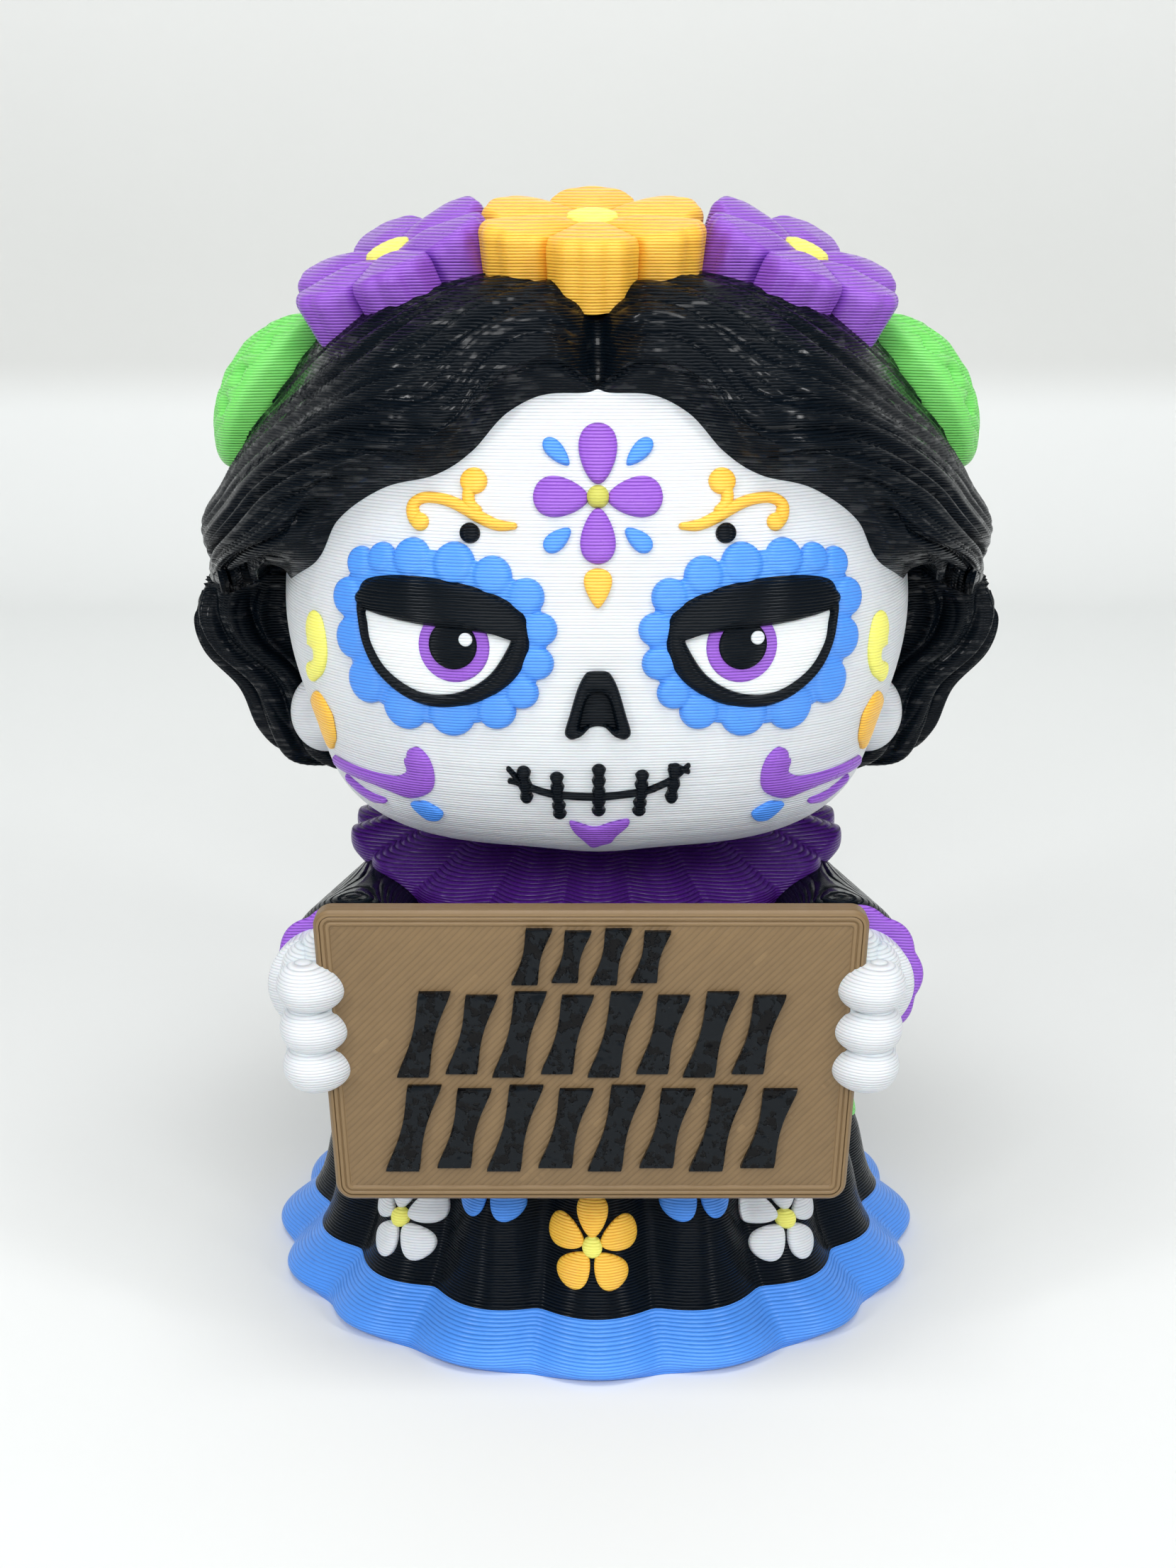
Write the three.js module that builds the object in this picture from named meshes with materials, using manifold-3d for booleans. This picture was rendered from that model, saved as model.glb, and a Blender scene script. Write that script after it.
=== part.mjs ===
// A printed catrina figure: a skull-faced lady with a flower crown, a ruffled collar
// and a bell skirt, holding a flat sign that is a piece of its own.
// Millimetres, +Z up. The figure stands on z = 0, faces -Y, and x = 0 is its middle plane.
import * as THREE from 'three';
import { mergeVertices } from 'three/addons/utils/BufferGeometryUtils.js';
import Module from 'manifold-3d';

const wasm = await Module();
wasm.setup();

const DEG = Math.PI / 180;
const CLEARANCE = 0.3;

// Skirt: rings of the bell, each with the height, the radius of the flute crests
// and how far the valleys between the flutes drop in.
const FLUTES = 16;
const HEM_HEIGHT = 4.4;
const SKIRT_TOP = 30;
const SKIRT_RINGS = [
  { z: 0, crest: 29.3, dip: 0.5 },
  { z: 0.9, crest: 30.4, dip: 1.5 },
  { z: HEM_HEIGHT, crest: 27.0, dip: 1.0 },
  { z: 11, crest: 24.9, dip: 1.4 },
  { z: 18, crest: 22.1, dip: 1.1 },
  { z: 24, crest: 18.0, dip: 0.7 },
  { z: SKIRT_TOP, crest: 13.0, dip: 0 },
];
const BLOSSOM_SIZE = 3.7;
const LOW_BLOSSOM_Z = 10.3;
const HIGH_BLOSSOM_Z = 15.6;
const BLOSSOMED_FLUTES = 2;

// Torso: half widths along x and y.
const TORSO_RINGS = [
  { z: 24, x: 12.5, y: 11 },
  { z: 30, x: 12.8, y: 11 },
  { z: 35, x: 15.5, y: 12 },
  { z: 39, x: 16.5, y: 12 },
  { z: 43, x: 13, y: 11 },
];

// Collar: a ruffled cape whose rim rises to a point over each arm.
const COLLAR_RUFFLES = 18;
const COLLAR_FRONT_RADIUS = 19.0;
const COLLAR_SIDE_RADIUS = 21.9;
const COLLAR_FRONT_Z = 37.6;
const COLLAR_SIDE_Z = 40.6;
const COLLAR_NECK_RADIUS = 9;
const COLLAR_NECK_Z = 46;
const COLLAR_THICKNESS = 1.6;
const COLLAR_DEPTH = 7.6;

// Arms, given for the side x > 0.
const SHOULDER = new THREE.Vector3(13, -1, 37.5);
const ELBOW = new THREE.Vector3(20.2, -5, 31.5);
const WRIST = new THREE.Vector3(20.8, -24, 34.6);
const SLEEVE_RADIUS = 5.5;
const CUFF_CENTRE = new THREE.Vector3(21, -26.2, 34.9);
const CUFF_RADIUS = 5.9;
const CUFF_WAVES = 9;

// Sign: an upright plate, a little wider at its top edge, with raised strokes.
const SIGN_X = -0.5;
const SIGN_FRONT_Y = -32;
const SIGN_THICKNESS = 2.2;
const SIGN_BOTTOM_Z = 17.9;
const SIGN_TOP_Z = 42.5;
const SIGN_BOTTOM_HALF = 20.5;
const SIGN_TOP_HALF = 21.8;
const SIGN_CORNER = 1.4;
const SIGN_EDGE = 0.5;
const STROKE_HEIGHT = 0.5;
const STROKE_ROWS = [
  { z: 38.8, width: 12.4, tall: 4.6, count: 4 },
  { z: 32.3, width: 30.2, tall: 7.2, count: 8 },
  { z: 24.3, width: 32.4, tall: 7.4, count: 8 },
];
const STROKE_LEAN = 0.26;
const STROKE_WAIST = 0.31;
const STROKE_SHARE = 0.8;

// Hands, measured from the sign's middle: three fingers lie over the sign's edge.
const HAND_OUT = 22;
const FINGER = new THREE.Vector3(3.1, 2.8, 2.2);
const FINGER_HEIGHTS = [36.4, 32.9, 29.6];
const PALM = new THREE.Vector3(2.9, 5.2, 6.3);

// Head: half sizes about its centre, the squareness of its outline, and three swells
// that round the chin, draw in the sides and flatten the jaw.
const HEAD_CENTRE = new THREE.Vector3(0, -5, 59.8);
const HEAD_SIDE = 26.7;
const HEAD_FRONT = 26;
const HEAD_BACK = 22;
const HEAD_UP = 28;
const HEAD_DOWN = 18.8;
const HEAD_PLAN_POWER = 2.6;
const HEAD_CROWN_POWER = 2.3;
const HEAD_JAW_POWER = 2.5;
const EAR_CENTRE = [24.3, -2.5, 51.4];
const EAR = new THREE.Vector3(3.1, 2.4, 3.6);

// Hair: angles run from the parting at the top of the head round each side to the nape.
// The outline is the distance from the hair's centre line, seen from the front.
const HAIR_CENTRE_Z = 66;
const HAIR_BACK_Y = 27;
const HAIR_WIDEST_Y = 1.5;
const HAIR_SET_BACK = 5;
const HAIR_OUTLINE = {
  angle: [0, 25, 50, 65, 79, 85, 90, 94, 100, 105, 112, 119, 125, 131, 141, 160, 180],
  radius: [24.4, 26.4, 29.9, 31.6, 33.3, 34.7, 34.2, 35, 37, 37, 35.2, 35.4, 34.8, 32, 27.5, 22.6, 20.8],
};
// The hairline on the face, as directions from the head's centre.
const HAIRLINE = {
  angle: [0, 16, 25, 38, 52, 66, 76, 85, 89, 91],
  azimuth: [0, 13.9, 19.6, 23.3, 29.1, 41.9, 49.2, 54, 61.6, 66],
  elevation: [50.8, 49.9, 45.6, 37.9, 32.3, 28.5, 22.9, 16.5, 13.5, 12],
};
const HAIR_ROLL = 3.4;
const HAIR_ROLL_RISE = 0.8;
const PARTING_DEPTH = 1.4;
const SWOOP_END = 91;
const BOB_START = 93.5;
const HAIR_ANGLES = [
  0, 5, 12, 21, 31, 41, 51, 61, 70, 78, 85, 89.5, 93, 98, 104, 110, 115, 120, 126, 132, 141, 155, 180,
];

// Crown of three flowers and two leaves.
const PETALS = 6;
const CENTRE_FLOWER = { at: [-0.4, -12, 95.2], radius: 9.9, lean: 12, roll: 0, thick: 5.8 };
const SIDE_FLOWER = { at: [-17.3, -9.5, 92.7], radius: 9.2, lean: 12, roll: 24, thick: 6.4 };
const LEAF_CENTRE = new THREE.Vector3(-29.8, -2.8, 80.4);
const LEAF_LENGTH = 15.4;
const LEAF_WIDTH = 9.4;
const LEAF_THICKNESS = 5;
const LEAF_BOW = 2.1;

// Face relief: directions from the head's centre in degrees, heights in millimetres.
const EYE_AZIMUTH = 27.2;
const EYE_ELEVATION = 7.7;
const EYE_RING_LOBES = 15;
const EYE_RING_HEIGHT = 0.45;
const EYE_RIM_HEIGHT = 0.95;
const EYE_WHITE_HEIGHT = 0.5;
const EYE_RIM = [
  [-15, 4], [-14, 7.5], [-7.5, 9.6], [2, 9.2], [9, 7.4], [14, 4.6], [15.5, 1],
  [14, -4.5], [10, -8.8], [4, -11], [-4, -10], [-10, -5.6], [-13.6, -0.6],
];
const EYE_WHITE = [
  [-12, 3.3], [-2, 2], [11, 1.3], [12.6, 0.6], [12, -2], [7, -7.4], [2, -8.8], [-4.5, -7.7],
  [-9, -4],
];
const NOSE = [[0, 3.6], [3.2, 0.4], [5.4, -6.4], [3, -8], [0, -6.8], [-3, -8], [-5.4, -6.4], [-3.2, 0.4]];
const NOSE_HEIGHT = 0.7;
const MOUTH = [[-16, -13.2], [-11.5, -17.8], [0, -19.4], [11.5, -17.8], [16, -13.2]];
const STITCHES = [
  [-12.9, -13.2, -21], [-7.1, -14.8, -24.6], [0, -13.3, -24.8], [7.8, -14.6, -24.4], [13.4, -13.2, -21],
];
const STROKE_WIDTH = 1.7;
const MOUTH_HEIGHT = 0.45;
const FOREHEAD_PETALS = [
  { azimuth: 0, elevation: 38.7, long: 5.2, wide: 3.8, turn: 90 },
  { azimuth: -7, elevation: 30.9, long: 5.0, wide: 2.9, turn: 0 },
  { azimuth: 7, elevation: 30.9, long: 5.0, wide: 2.9, turn: 0 },
  { azimuth: 0, elevation: 25.1, long: 4.4, wide: 3.3, turn: 90 },
];
const PETAL_HEIGHT = 0.5;

// Makes a closed skin from a unit sphere: place(u, v) moves the point at the fraction u
// of a turn and the fraction v of the way from one pole to the other.
function skin(columns, rows, place) {
  const geometry = new THREE.SphereGeometry(1, columns, rows);
  const position = geometry.getAttribute('position');
  const perRow = columns + 1;
  for (let i = 0; i < position.count; i += 1) {
    const u = (i % perRow) / columns;
    const v = Math.floor(i / perRow) / rows;
    const p = place(u === 1 ? 0 : u, v);
    position.setXYZ(i, p.x, p.y, p.z);
  }
  return geometry;
}

// A closed geometry as a solid for joining and cutting.
function solid(geometry) {
  const bare = geometry.clone();
  bare.deleteAttribute('normal');
  bare.deleteAttribute('uv');
  const merged = mergeVertices(bare, 1e-4);
  return new wasm.Manifold(
    new wasm.Mesh({
      numProp: 3,
      vertProperties: merged.attributes.position.array,
      triVerts: new Uint32Array(merged.index.array),
    }),
  );
}

function joined(solids) {
  return solids.reduce((whole, piece) => whole.add(piece));
}

function geometryOf(made) {
  const mesh = made.getMesh();
  const geometry = new THREE.BufferGeometry();
  geometry.setAttribute('position', new THREE.BufferAttribute(mesh.vertProperties, 3));
  geometry.setIndex(new THREE.BufferAttribute(mesh.triVerts, 1));
  geometry.computeVertexNormals();
  return geometry;
}

// A smooth curve of values over rising keys.
function smooth(keys, values) {
  const curve = new THREE.CubicInterpolant(keys, values, 1, [0]);
  return (x) => curve.evaluate(x)[0];
}

// 1 on each of count crests round a turn and 0 in the valleys between them.
function lobes(turn, count, roundness) {
  return Math.abs(Math.cos((count * turn) / 2)) ** roundness;
}

// The turn about z of a column, measured from the front (-Y) towards +X.
function turnOf(u) {
  return 2 * Math.PI * u - Math.PI / 2;
}

// A body about z from rings of half widths, closed flat at its two ends.
function turned(columns, rings, radiusOf) {
  const last = rings.length + 1;
  return skin(columns, last, (u, v) => {
    const row = Math.round(v * last);
    const ring = rings[rings.length - Math.min(Math.max(row, 1), rings.length)];
    const open = row > 0 && row < last ? 1 : 0;
    const turn = turnOf(u);
    const r = radiusOf(ring, turn);
    return new THREE.Vector3(open * r.x * Math.sin(turn), -open * r.y * Math.cos(turn), ring.z);
  });
}

const skirtCrest = smooth(SKIRT_RINGS.map((ring) => ring.z), SKIRT_RINGS.map((ring) => ring.crest));
const skirtDip = smooth(SKIRT_RINGS.map((ring) => ring.z), SKIRT_RINGS.map((ring) => ring.dip));

// The skirt's radius at a turn and a height.
function skirtRadius(turn, z) {
  return skirtCrest(z) - skirtDip(z) * (1 - lobes(turn, FLUTES, 0.8));
}

function skirt() {
  return turned(FLUTES * 4, SKIRT_RINGS, (ring, turn) => {
    const r = skirtRadius(turn, ring.z);
    return { x: r, y: r };
  });
}

// A five-petalled blossom that follows the skirt about a turn and a height.
function blossom(turn, z) {
  const rings = [
    { out: 0, lift: 0.6 },
    { out: 1, lift: 0.45 },
    { out: 1, lift: -1 },
    { out: 0, lift: -2 },
  ];
  return skin(15, rings.length - 1, (u, v) => {
    const ring = rings[Math.round(v * (rings.length - 1))];
    const around = 2 * Math.PI * (u + 0.1);
    const reach = BLOSSOM_SIZE * (0.5 + 0.5 * lobes(around, 5, 0.7)) * ring.out;
    const height = z + reach * Math.cos(around);
    const at = turn - (reach * Math.sin(around)) / skirtCrest(z);
    const r = skirtRadius(at, height) + ring.lift;
    return new THREE.Vector3(r * Math.sin(at), -r * Math.cos(at), height);
  });
}

function skirtBlossoms() {
  const made = [];
  for (let flute = -BLOSSOMED_FLUTES; flute <= BLOSSOMED_FLUTES; flute += 1) {
    const z = flute % 2 ? HIGH_BLOSSOM_Z : LOW_BLOSSOM_Z;
    made.push(blossom((2 * Math.PI * flute) / FLUTES, z));
  }
  return made;
}

function torso() {
  return turned(20, TORSO_RINGS, (ring) => ring);
}

// The collar's rim rises and widens from the front to the arms.
function collarRim(turn) {
  const side = Math.sin(turn) ** 2;
  const ruffle = lobes(turn, COLLAR_RUFFLES, 1) - 0.5;
  return {
    r: COLLAR_FRONT_RADIUS + (COLLAR_SIDE_RADIUS - COLLAR_FRONT_RADIUS) * side + ruffle,
    z: COLLAR_FRONT_Z + (COLLAR_SIDE_Z - COLLAR_FRONT_Z) * side ** 2,
    ruffle,
  };
}

function collar() {
  const stations = [0, 0, 0.5, 1, 1, 0];
  return skin(COLLAR_RUFFLES * 2, stations.length - 1, (u, v) => {
    const row = Math.round(v * (stations.length - 1));
    const out = stations[row];
    const turn = turnOf(u);
    const rim = collarRim(turn);
    const pole = row === 0 || row === stations.length - 1;
    const r = pole ? 0 : COLLAR_NECK_RADIUS + (rim.r - COLLAR_NECK_RADIUS) * out;
    const top = COLLAR_NECK_Z + (rim.z - COLLAR_NECK_Z) * out ** 0.8 + 0.7 * rim.ruffle * out;
    const under = row > 3 ? COLLAR_THICKNESS : 0;
    const z = pole ? COLLAR_NECK_Z - (row ? COLLAR_DEPTH : 0) : top - under;
    return new THREE.Vector3(r * Math.sin(turn), -r * Math.cos(turn), z);
  });
}

// A rounded limb along a curve: its section shrinks to a dome over each end.
function limb(curve, radiusOf, columns, rows, cap) {
  return skin(columns, rows, (u, v) => {
    const p = curve.getPoint(v);
    const along = curve.getTangent(v);
    const e1 = new THREE.Vector3(0, 0, 1).cross(along).normalize();
    const e2 = along.clone().negate().cross(e1);
    const end = Math.min(v, 1 - v) / cap;
    const r = radiusOf(v) * (end < 1 ? Math.sqrt(1 - (1 - end) ** 2) : 1);
    const turn = 2 * Math.PI * u;
    return p.addScaledVector(e1, r * Math.cos(turn)).addScaledVector(e2, r * Math.sin(turn));
  });
}

function sleeve() {
  const curve = new THREE.QuadraticBezierCurve3(SHOULDER, ELBOW, WRIST);
  return limb(curve, (v) => SLEEVE_RADIUS * (0.92 + 0.1 * v), 12, 7, 0.15);
}

function cuff() {
  const forward = WRIST.clone().sub(ELBOW).normalize();
  const rings = [
    { along: -3.2, r: 0 },
    { along: -3.2, r: 0.84 },
    { along: 0, r: 1 },
    { along: 0.3, r: 0.72 },
    { along: -0.6, r: 0 },
  ];
  const across = new THREE.Vector3(0, 0, 1).cross(forward).normalize();
  const rise = forward.clone().negate().cross(across);
  return skin(CUFF_WAVES * 2, rings.length - 1, (u, v) => {
    const ring = rings[Math.round(v * (rings.length - 1))];
    const turn = 2 * Math.PI * u;
    const wave = 1 - 0.09 * (1 - lobes(turn, CUFF_WAVES, 1));
    return CUFF_CENTRE.clone()
      .addScaledVector(forward, ring.along)
      .addScaledVector(across, CUFF_RADIUS * ring.r * wave * Math.cos(turn))
      .addScaledVector(rise, CUFF_RADIUS * ring.r * wave * Math.sin(turn));
  });
}

function ellipsoid(x, y, z, half, columns, rows) {
  const geometry = new THREE.SphereGeometry(1, columns, rows);
  geometry.rotateX(Math.PI / 2);
  geometry.scale(half.x, half.y, half.z);
  geometry.translate(x, y, z);
  return geometry;
}

// The hand for the side x > 0: a palm behind the sign's edge and three bent fingers.
function handPieces() {
  const fingers = FINGER_HEIGHTS.map((z, i) =>
    ellipsoid(HAND_OUT - 0.25 * i + SIGN_X, SIGN_FRONT_Y + 0.2, z, FINGER, 8, 5));
  const wrist = new THREE.LineCurve3(
    new THREE.Vector3(20.8, -18, 34.4),
    new THREE.Vector3(22.3 + SIGN_X, -28, 33.6),
  );
  return [
    ...fingers,
    ellipsoid(HAND_OUT - 0.3 + SIGN_X, SIGN_FRONT_Y + 4.4, 34, PALM, 10, 6),
    limb(wrist, () => 4.3, 8, 3, 0.2),
  ];
}

function mirrored(geometry, about) {
  const copy = geometry.clone();
  copy.scale(-1, 1, 1);
  copy.translate(2 * about, 0, 0);
  const index = copy.index.array;
  for (let i = 0; i < index.length; i += 3) {
    const keep = index[i + 1];
    index[i + 1] = index[i + 2];
    index[i + 2] = keep;
  }
  return copy;
}

// Distance from the head's centre to its skin in a direction given in degrees.
function headRadius(azimuth, elevation) {
  const across = Math.sin(azimuth * DEG) * Math.cos(elevation * DEG);
  const ahead = Math.cos(azimuth * DEG) * Math.cos(elevation * DEG);
  const up = Math.sin(elevation * DEG);
  const depth = ahead > 0 ? HEAD_FRONT : HEAD_BACK;
  const height = up > 0 ? HEAD_UP : HEAD_DOWN;
  const power = up > 0 ? HEAD_CROWN_POWER : HEAD_JAW_POWER;
  const plan = Math.abs(across / HEAD_SIDE) ** HEAD_PLAN_POWER + Math.abs(ahead / depth) ** HEAD_PLAN_POWER;
  const base = (plan ** (power / HEAD_PLAN_POWER) + Math.abs(up / height) ** power) ** (-1 / power);
  const chin = 0.64 * swell(azimuth / 15, (elevation + 45) / 14);
  const sides = 1.9 * swell((Math.abs(azimuth) - 85) / 40, (elevation + 13.7) / 13);
  const jaw = 2.2 * swell(0, (elevation + 58) / 17);
  return base + chin - sides - jaw;
}

function swell(a, b) {
  return Math.exp(-(a * a + b * b));
}

// A point above the head's skin by a height, in a direction given in degrees.
function onHead(azimuth, elevation, height = 0) {
  const r = headRadius(azimuth, elevation) + height;
  return new THREE.Vector3(
    HEAD_CENTRE.x + r * Math.sin(azimuth * DEG) * Math.cos(elevation * DEG),
    HEAD_CENTRE.y - r * Math.cos(azimuth * DEG) * Math.cos(elevation * DEG),
    HEAD_CENTRE.z + r * Math.sin(elevation * DEG),
  );
}

function head() {
  return skin(30, 17, (u, v) => {
    const azimuth = turnOf(u) / DEG;
    return onHead(azimuth > 180 ? azimuth - 360 : azimuth, 90 - 180 * v);
  });
}

// A raised patch on the face about a direction: reach(turn) gives its outline in degrees.
function patch(azimuth, elevation, columns, reach, height, depth = -0.9, middle = []) {
  const rings = [
    { out: 0, height },
    ...middle.map((out) => ({ out, height })),
    { out: 1, height: height * 0.9 },
    { out: 1, height: depth },
    { out: 0, height: depth },
  ];
  return skin(columns, rings.length - 1, (u, v) => {
    const ring = rings[Math.round(v * (rings.length - 1))];
    const [a, e] = reach(2 * Math.PI * u);
    return onHead(azimuth + a * ring.out, elevation + e * ring.out, ring.height);
  });
}

// The outline of a patch as a closed curve through a few points.
function outline(points, side = 1) {
  const ordered = side > 0 ? points : points.map(([a, e]) => [-a, e]).reverse();
  const curve = new THREE.CatmullRomCurve3(
    ordered.map(([a, e]) => new THREE.Vector3(a, e, 0)), true, 'centripetal');
  return (turn) => {
    const p = curve.getPoint(1 - turn / (2 * Math.PI));
    return [p.x, p.y];
  };
}

// A raised stroke that runs along the face between directions, rounded at its ends.
function faceStroke(points, width, height, rows) {
  const curve = new THREE.CatmullRomCurve3(points.map(([a, e]) => new THREE.Vector3(a, e, 0)));
  const at = (v) => {
    const p = curve.getPoint(v);
    return onHead(p.x, p.y);
  };
  return skin(4, rows, (u, v) => {
    const s = (1 - Math.cos(Math.PI * v)) / 2;
    const p = at(s);
    const out = p.clone().sub(HEAD_CENTRE).normalize();
    const along = at(Math.min(1, s + 0.01)).sub(at(Math.max(0, s - 0.01)));
    const across = along.cross(out).normalize();
    const end = v > 0 && v < 1 ? 1 : 0;
    const turn = 2 * Math.PI * (u + 1 / 8);
    const wide = (width / 2) * end * Math.sign(Math.cos(turn));
    const lift = end * (Math.sin(turn) > 0 ? height : -0.8);
    return p.addScaledVector(across, wide).addScaledVector(out, lift);
  });
}

function eye(side) {
  const azimuth = EYE_AZIMUTH * side;
  const ring = patch(azimuth, EYE_ELEVATION, EYE_RING_LOBES * 2, (turn) => {
    const reach = 0.93 + 0.08 * lobes(turn, EYE_RING_LOBES, 0.7);
    return [20 * reach * Math.cos(turn), 15.4 * reach * Math.sin(turn)];
  }, EYE_RING_HEIGHT, -2, [0.7]);
  const rim = patch(azimuth, EYE_ELEVATION, 18, outline(EYE_RIM, -side), EYE_RIM_HEIGHT);
  const white = patch(azimuth, EYE_ELEVATION, 14, outline(EYE_WHITE, -side), 3, EYE_WHITE_HEIGHT);
  return solid(ring).add(solid(rim)).subtract(solid(white));
}

function nose() {
  const shape = outline(NOSE);
  const inner = (turn) => shape(turn).map((d) => d * 0.62);
  return solid(patch(0, 0, 16, shape, NOSE_HEIGHT)).subtract(solid(patch(0, -1, 12, inner, 3, 0.1)));
}

function foreheadFlower() {
  return FOREHEAD_PETALS.map((petal) => {
    const c = Math.cos(petal.turn * DEG);
    const s = Math.sin(petal.turn * DEG);
    return patch(petal.azimuth, petal.elevation, 10, (turn) => {
      const a = petal.long * Math.cos(turn);
      const e = petal.wide * Math.sin(turn);
      return [a * c - e * s, a * s + e * c];
    }, PETAL_HEIGHT);
  });
}

function mouth() {
  const stitches = STITCHES.map(([azimuth, top, bottom]) =>
    faceStroke([[azimuth, top], [azimuth, bottom]], STROKE_WIDTH, MOUTH_HEIGHT, 3));
  return [faceStroke(MOUTH, STROKE_WIDTH, MOUTH_HEIGHT, 7), ...stitches];
}

// The hair is a hood: each section runs from the back of the head to its outline, over
// the front to a rolled edge, down to the hairline on the face, and on into the head.
const hairOutline = smooth(HAIR_OUTLINE.angle, HAIR_OUTLINE.radius);
const hairlineAzimuth = smooth(HAIRLINE.angle, HAIRLINE.azimuth);
const hairlineElevation = smooth(HAIRLINE.angle, HAIRLINE.elevation);

function hairSection(angle) {
  const set = HAIR_SET_BACK * (1 - THREE.MathUtils.smoothstep(angle, 55, 85));
  const outer = { r: hairOutline(angle), y: HAIR_WIDEST_Y + set };
  const swoop = 1 - THREE.MathUtils.smoothstep(angle, SWOOP_END, BOB_START);
  const a = Math.min(angle, SWOOP_END);
  const line = onHead(hairlineAzimuth(a), hairlineElevation(a), -0.3);
  const parting = Math.exp(-((angle / 7) ** 2));
  const ridge = onHead(
    hairlineAzimuth(a),
    hairlineElevation(a) + HAIR_ROLL_RISE,
    HAIR_ROLL * (1 - 0.75 * parting),
  );
  const flat = (p) => ({ r: Math.hypot(p.x, p.z - HAIR_CENTRE_Z), y: p.y });
  const mix = (p, q) => ({ r: q.r + (p.r - q.r) * swoop, y: q.y + (p.y - q.y) * swoop });
  return {
    outer,
    ridge: mix(flat(ridge), { r: outer.r * 0.82, y: -2.5 }),
    line: mix(flat(line), { r: outer.r * 0.62, y: 1 }),
    turns: [flatAngle(ridge), flatAngle(line)].map((at) => at * swoop + angle * (1 - swoop)),
  };
}

// The angle from the parting of a point seen from the front.
function flatAngle(p) {
  return Math.atan2(Math.abs(p.x), p.z - HAIR_CENTRE_Z) / DEG;
}

// How much of its height the front of the hair keeps, a share of the way from the outline
// to the ridge: a rounded slope at the sides, a steep front over the forehead.
function fullness(angle, ahead) {
  const steep = 1 - THREE.MathUtils.smoothstep(angle, 20, 65);
  return Math.max(0, 1 - ahead ** (2 + 7 * steep)) ** (0.575 + 0.425 * steep);
}

// The valley pressed in along the parting, between the outline and the ridge.
function partingDepth(angle, k) {
  const { smoothstep } = THREE.MathUtils;
  return PARTING_DEPTH * Math.exp(-((angle / 4) ** 2)) * smoothstep(k, 0.2, 0.6) * (1 - smoothstep(k, 0.75, 1));
}

function hair() {
  const backRows = 6;
  const frontRows = 7;
  const rows = backRows + frontRows + 3;
  const half = HAIR_ANGLES.length - 1;
  const columns = 2 * half;
  const sections = HAIR_ANGLES.map(hairSection);
  return skin(columns, rows, (u, v) => {
    const column = (Math.round(u * columns) + half + half / 2) % columns;
    const step = column <= half ? column : columns - column;
    const side = column <= half ? 1 : -1;
    const { outer, ridge, line, turns } = sections[step];
    const row = Math.round(v * rows);
    let angle = HAIR_ANGLES[step];
    let r = 0;
    let y = HAIR_BACK_Y;
    if (row <= backRows) {
      const t = (Math.PI / 2) * (row / backRows);
      const lock = 0.5 * Math.cos(angle * DEG * 22) * Math.sin(t) ** 2;
      r = outer.r * Math.sin(t) ** 0.8 + lock;
      y = outer.y + (HAIR_BACK_Y - outer.y) * Math.cos(t) ** 0.8;
    } else if (row <= backRows + frontRows) {
      const k = (row - backRows) / frontRows;
      const t = (Math.PI / 2) * k;
      const lock = 0.55 * Math.sin(3 * Math.PI * k) ** 2 * (k < 1 ? 1 : 0);
      r = ridge.r + (outer.r - ridge.r) * fullness(angle, Math.sin(t)) + lock - partingDepth(angle, k);
      y = outer.y + (ridge.y - outer.y) * Math.sin(t);
      angle += (turns[0] - angle) * k * k;
    } else if (row < rows) {
      const k = (row - backRows - frontRows) / 2;
      r = ridge.r + (line.r - ridge.r) * k;
      y = ridge.y + (line.y - ridge.y) * k;
      angle = turns[0] + (turns[1] - turns[0]) * k;
    } else {
      y = HEAD_CENTRE.y;
    }
    return new THREE.Vector3(side * r * Math.sin(angle * DEG), y, HAIR_CENTRE_Z + r * Math.cos(angle * DEG));
  });
}

// A crown flower about its own axis: thick petals round a raised button.
function crownFlower(flower, side) {
  const rings = [
    { z: 0.9, r: 0 },
    { z: 0.5, r: 0.26 },
    { z: -0.4, r: 0.32 },
    { z: 0, r: 0.92 },
    { z: -0.8, r: 1 },
    { z: -flower.thick, r: 0.97 },
    { z: -flower.thick, r: 0 },
  ];
  const geometry = skin(PETALS * 4, rings.length - 1, (u, v) => {
    const ring = rings[Math.round(v * (rings.length - 1))];
    const turn = turnOf(u);
    const petal = 1 - 0.3 * (1 - lobes(turn, PETALS, 0.55)) * THREE.MathUtils.smoothstep(ring.r, 0.3, 0.9);
    const r = flower.radius * ring.r * petal;
    return new THREE.Vector3(r * Math.sin(turn), -r * Math.cos(turn), ring.z);
  });
  geometry.rotateX(flower.lean * DEG);
  geometry.rotateY(-flower.roll * DEG);
  geometry.translate(...flower.at);
  return side > 0 ? mirrored(geometry, 0) : geometry;
}

// A thick pointed leaf, bowed round the hair, on the side x < 0.
function leaf() {
  const along = new THREE.Vector3(-0.55, 0.06, -0.83).normalize();
  const facing = new THREE.Vector3(-0.8, -0.28, 0.53).normalize();
  const across = facing.clone().cross(along).normalize();
  const normal = along.clone().cross(across).normalize();
  return skin(10, 8, (u, v) => {
    const s = -Math.cos(Math.PI * v);
    const turn = 2 * Math.PI * u;
    const width = (LEAF_WIDTH / 2) * (1 - s * s) ** 0.7;
    const height = (LEAF_THICKNESS / 2) * (1 - s * s) ** 0.3;
    const lift = Math.sign(Math.sin(turn)) * Math.abs(Math.sin(turn)) ** 0.5 * height;
    return LEAF_CENTRE.clone()
      .addScaledVector(along, (LEAF_LENGTH / 2) * s)
      .addScaledVector(across, -width * Math.cos(turn))
      .addScaledVector(normal, lift - LEAF_THICKNESS / 2 + LEAF_BOW * (1 - s * s));
  });
}

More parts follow.
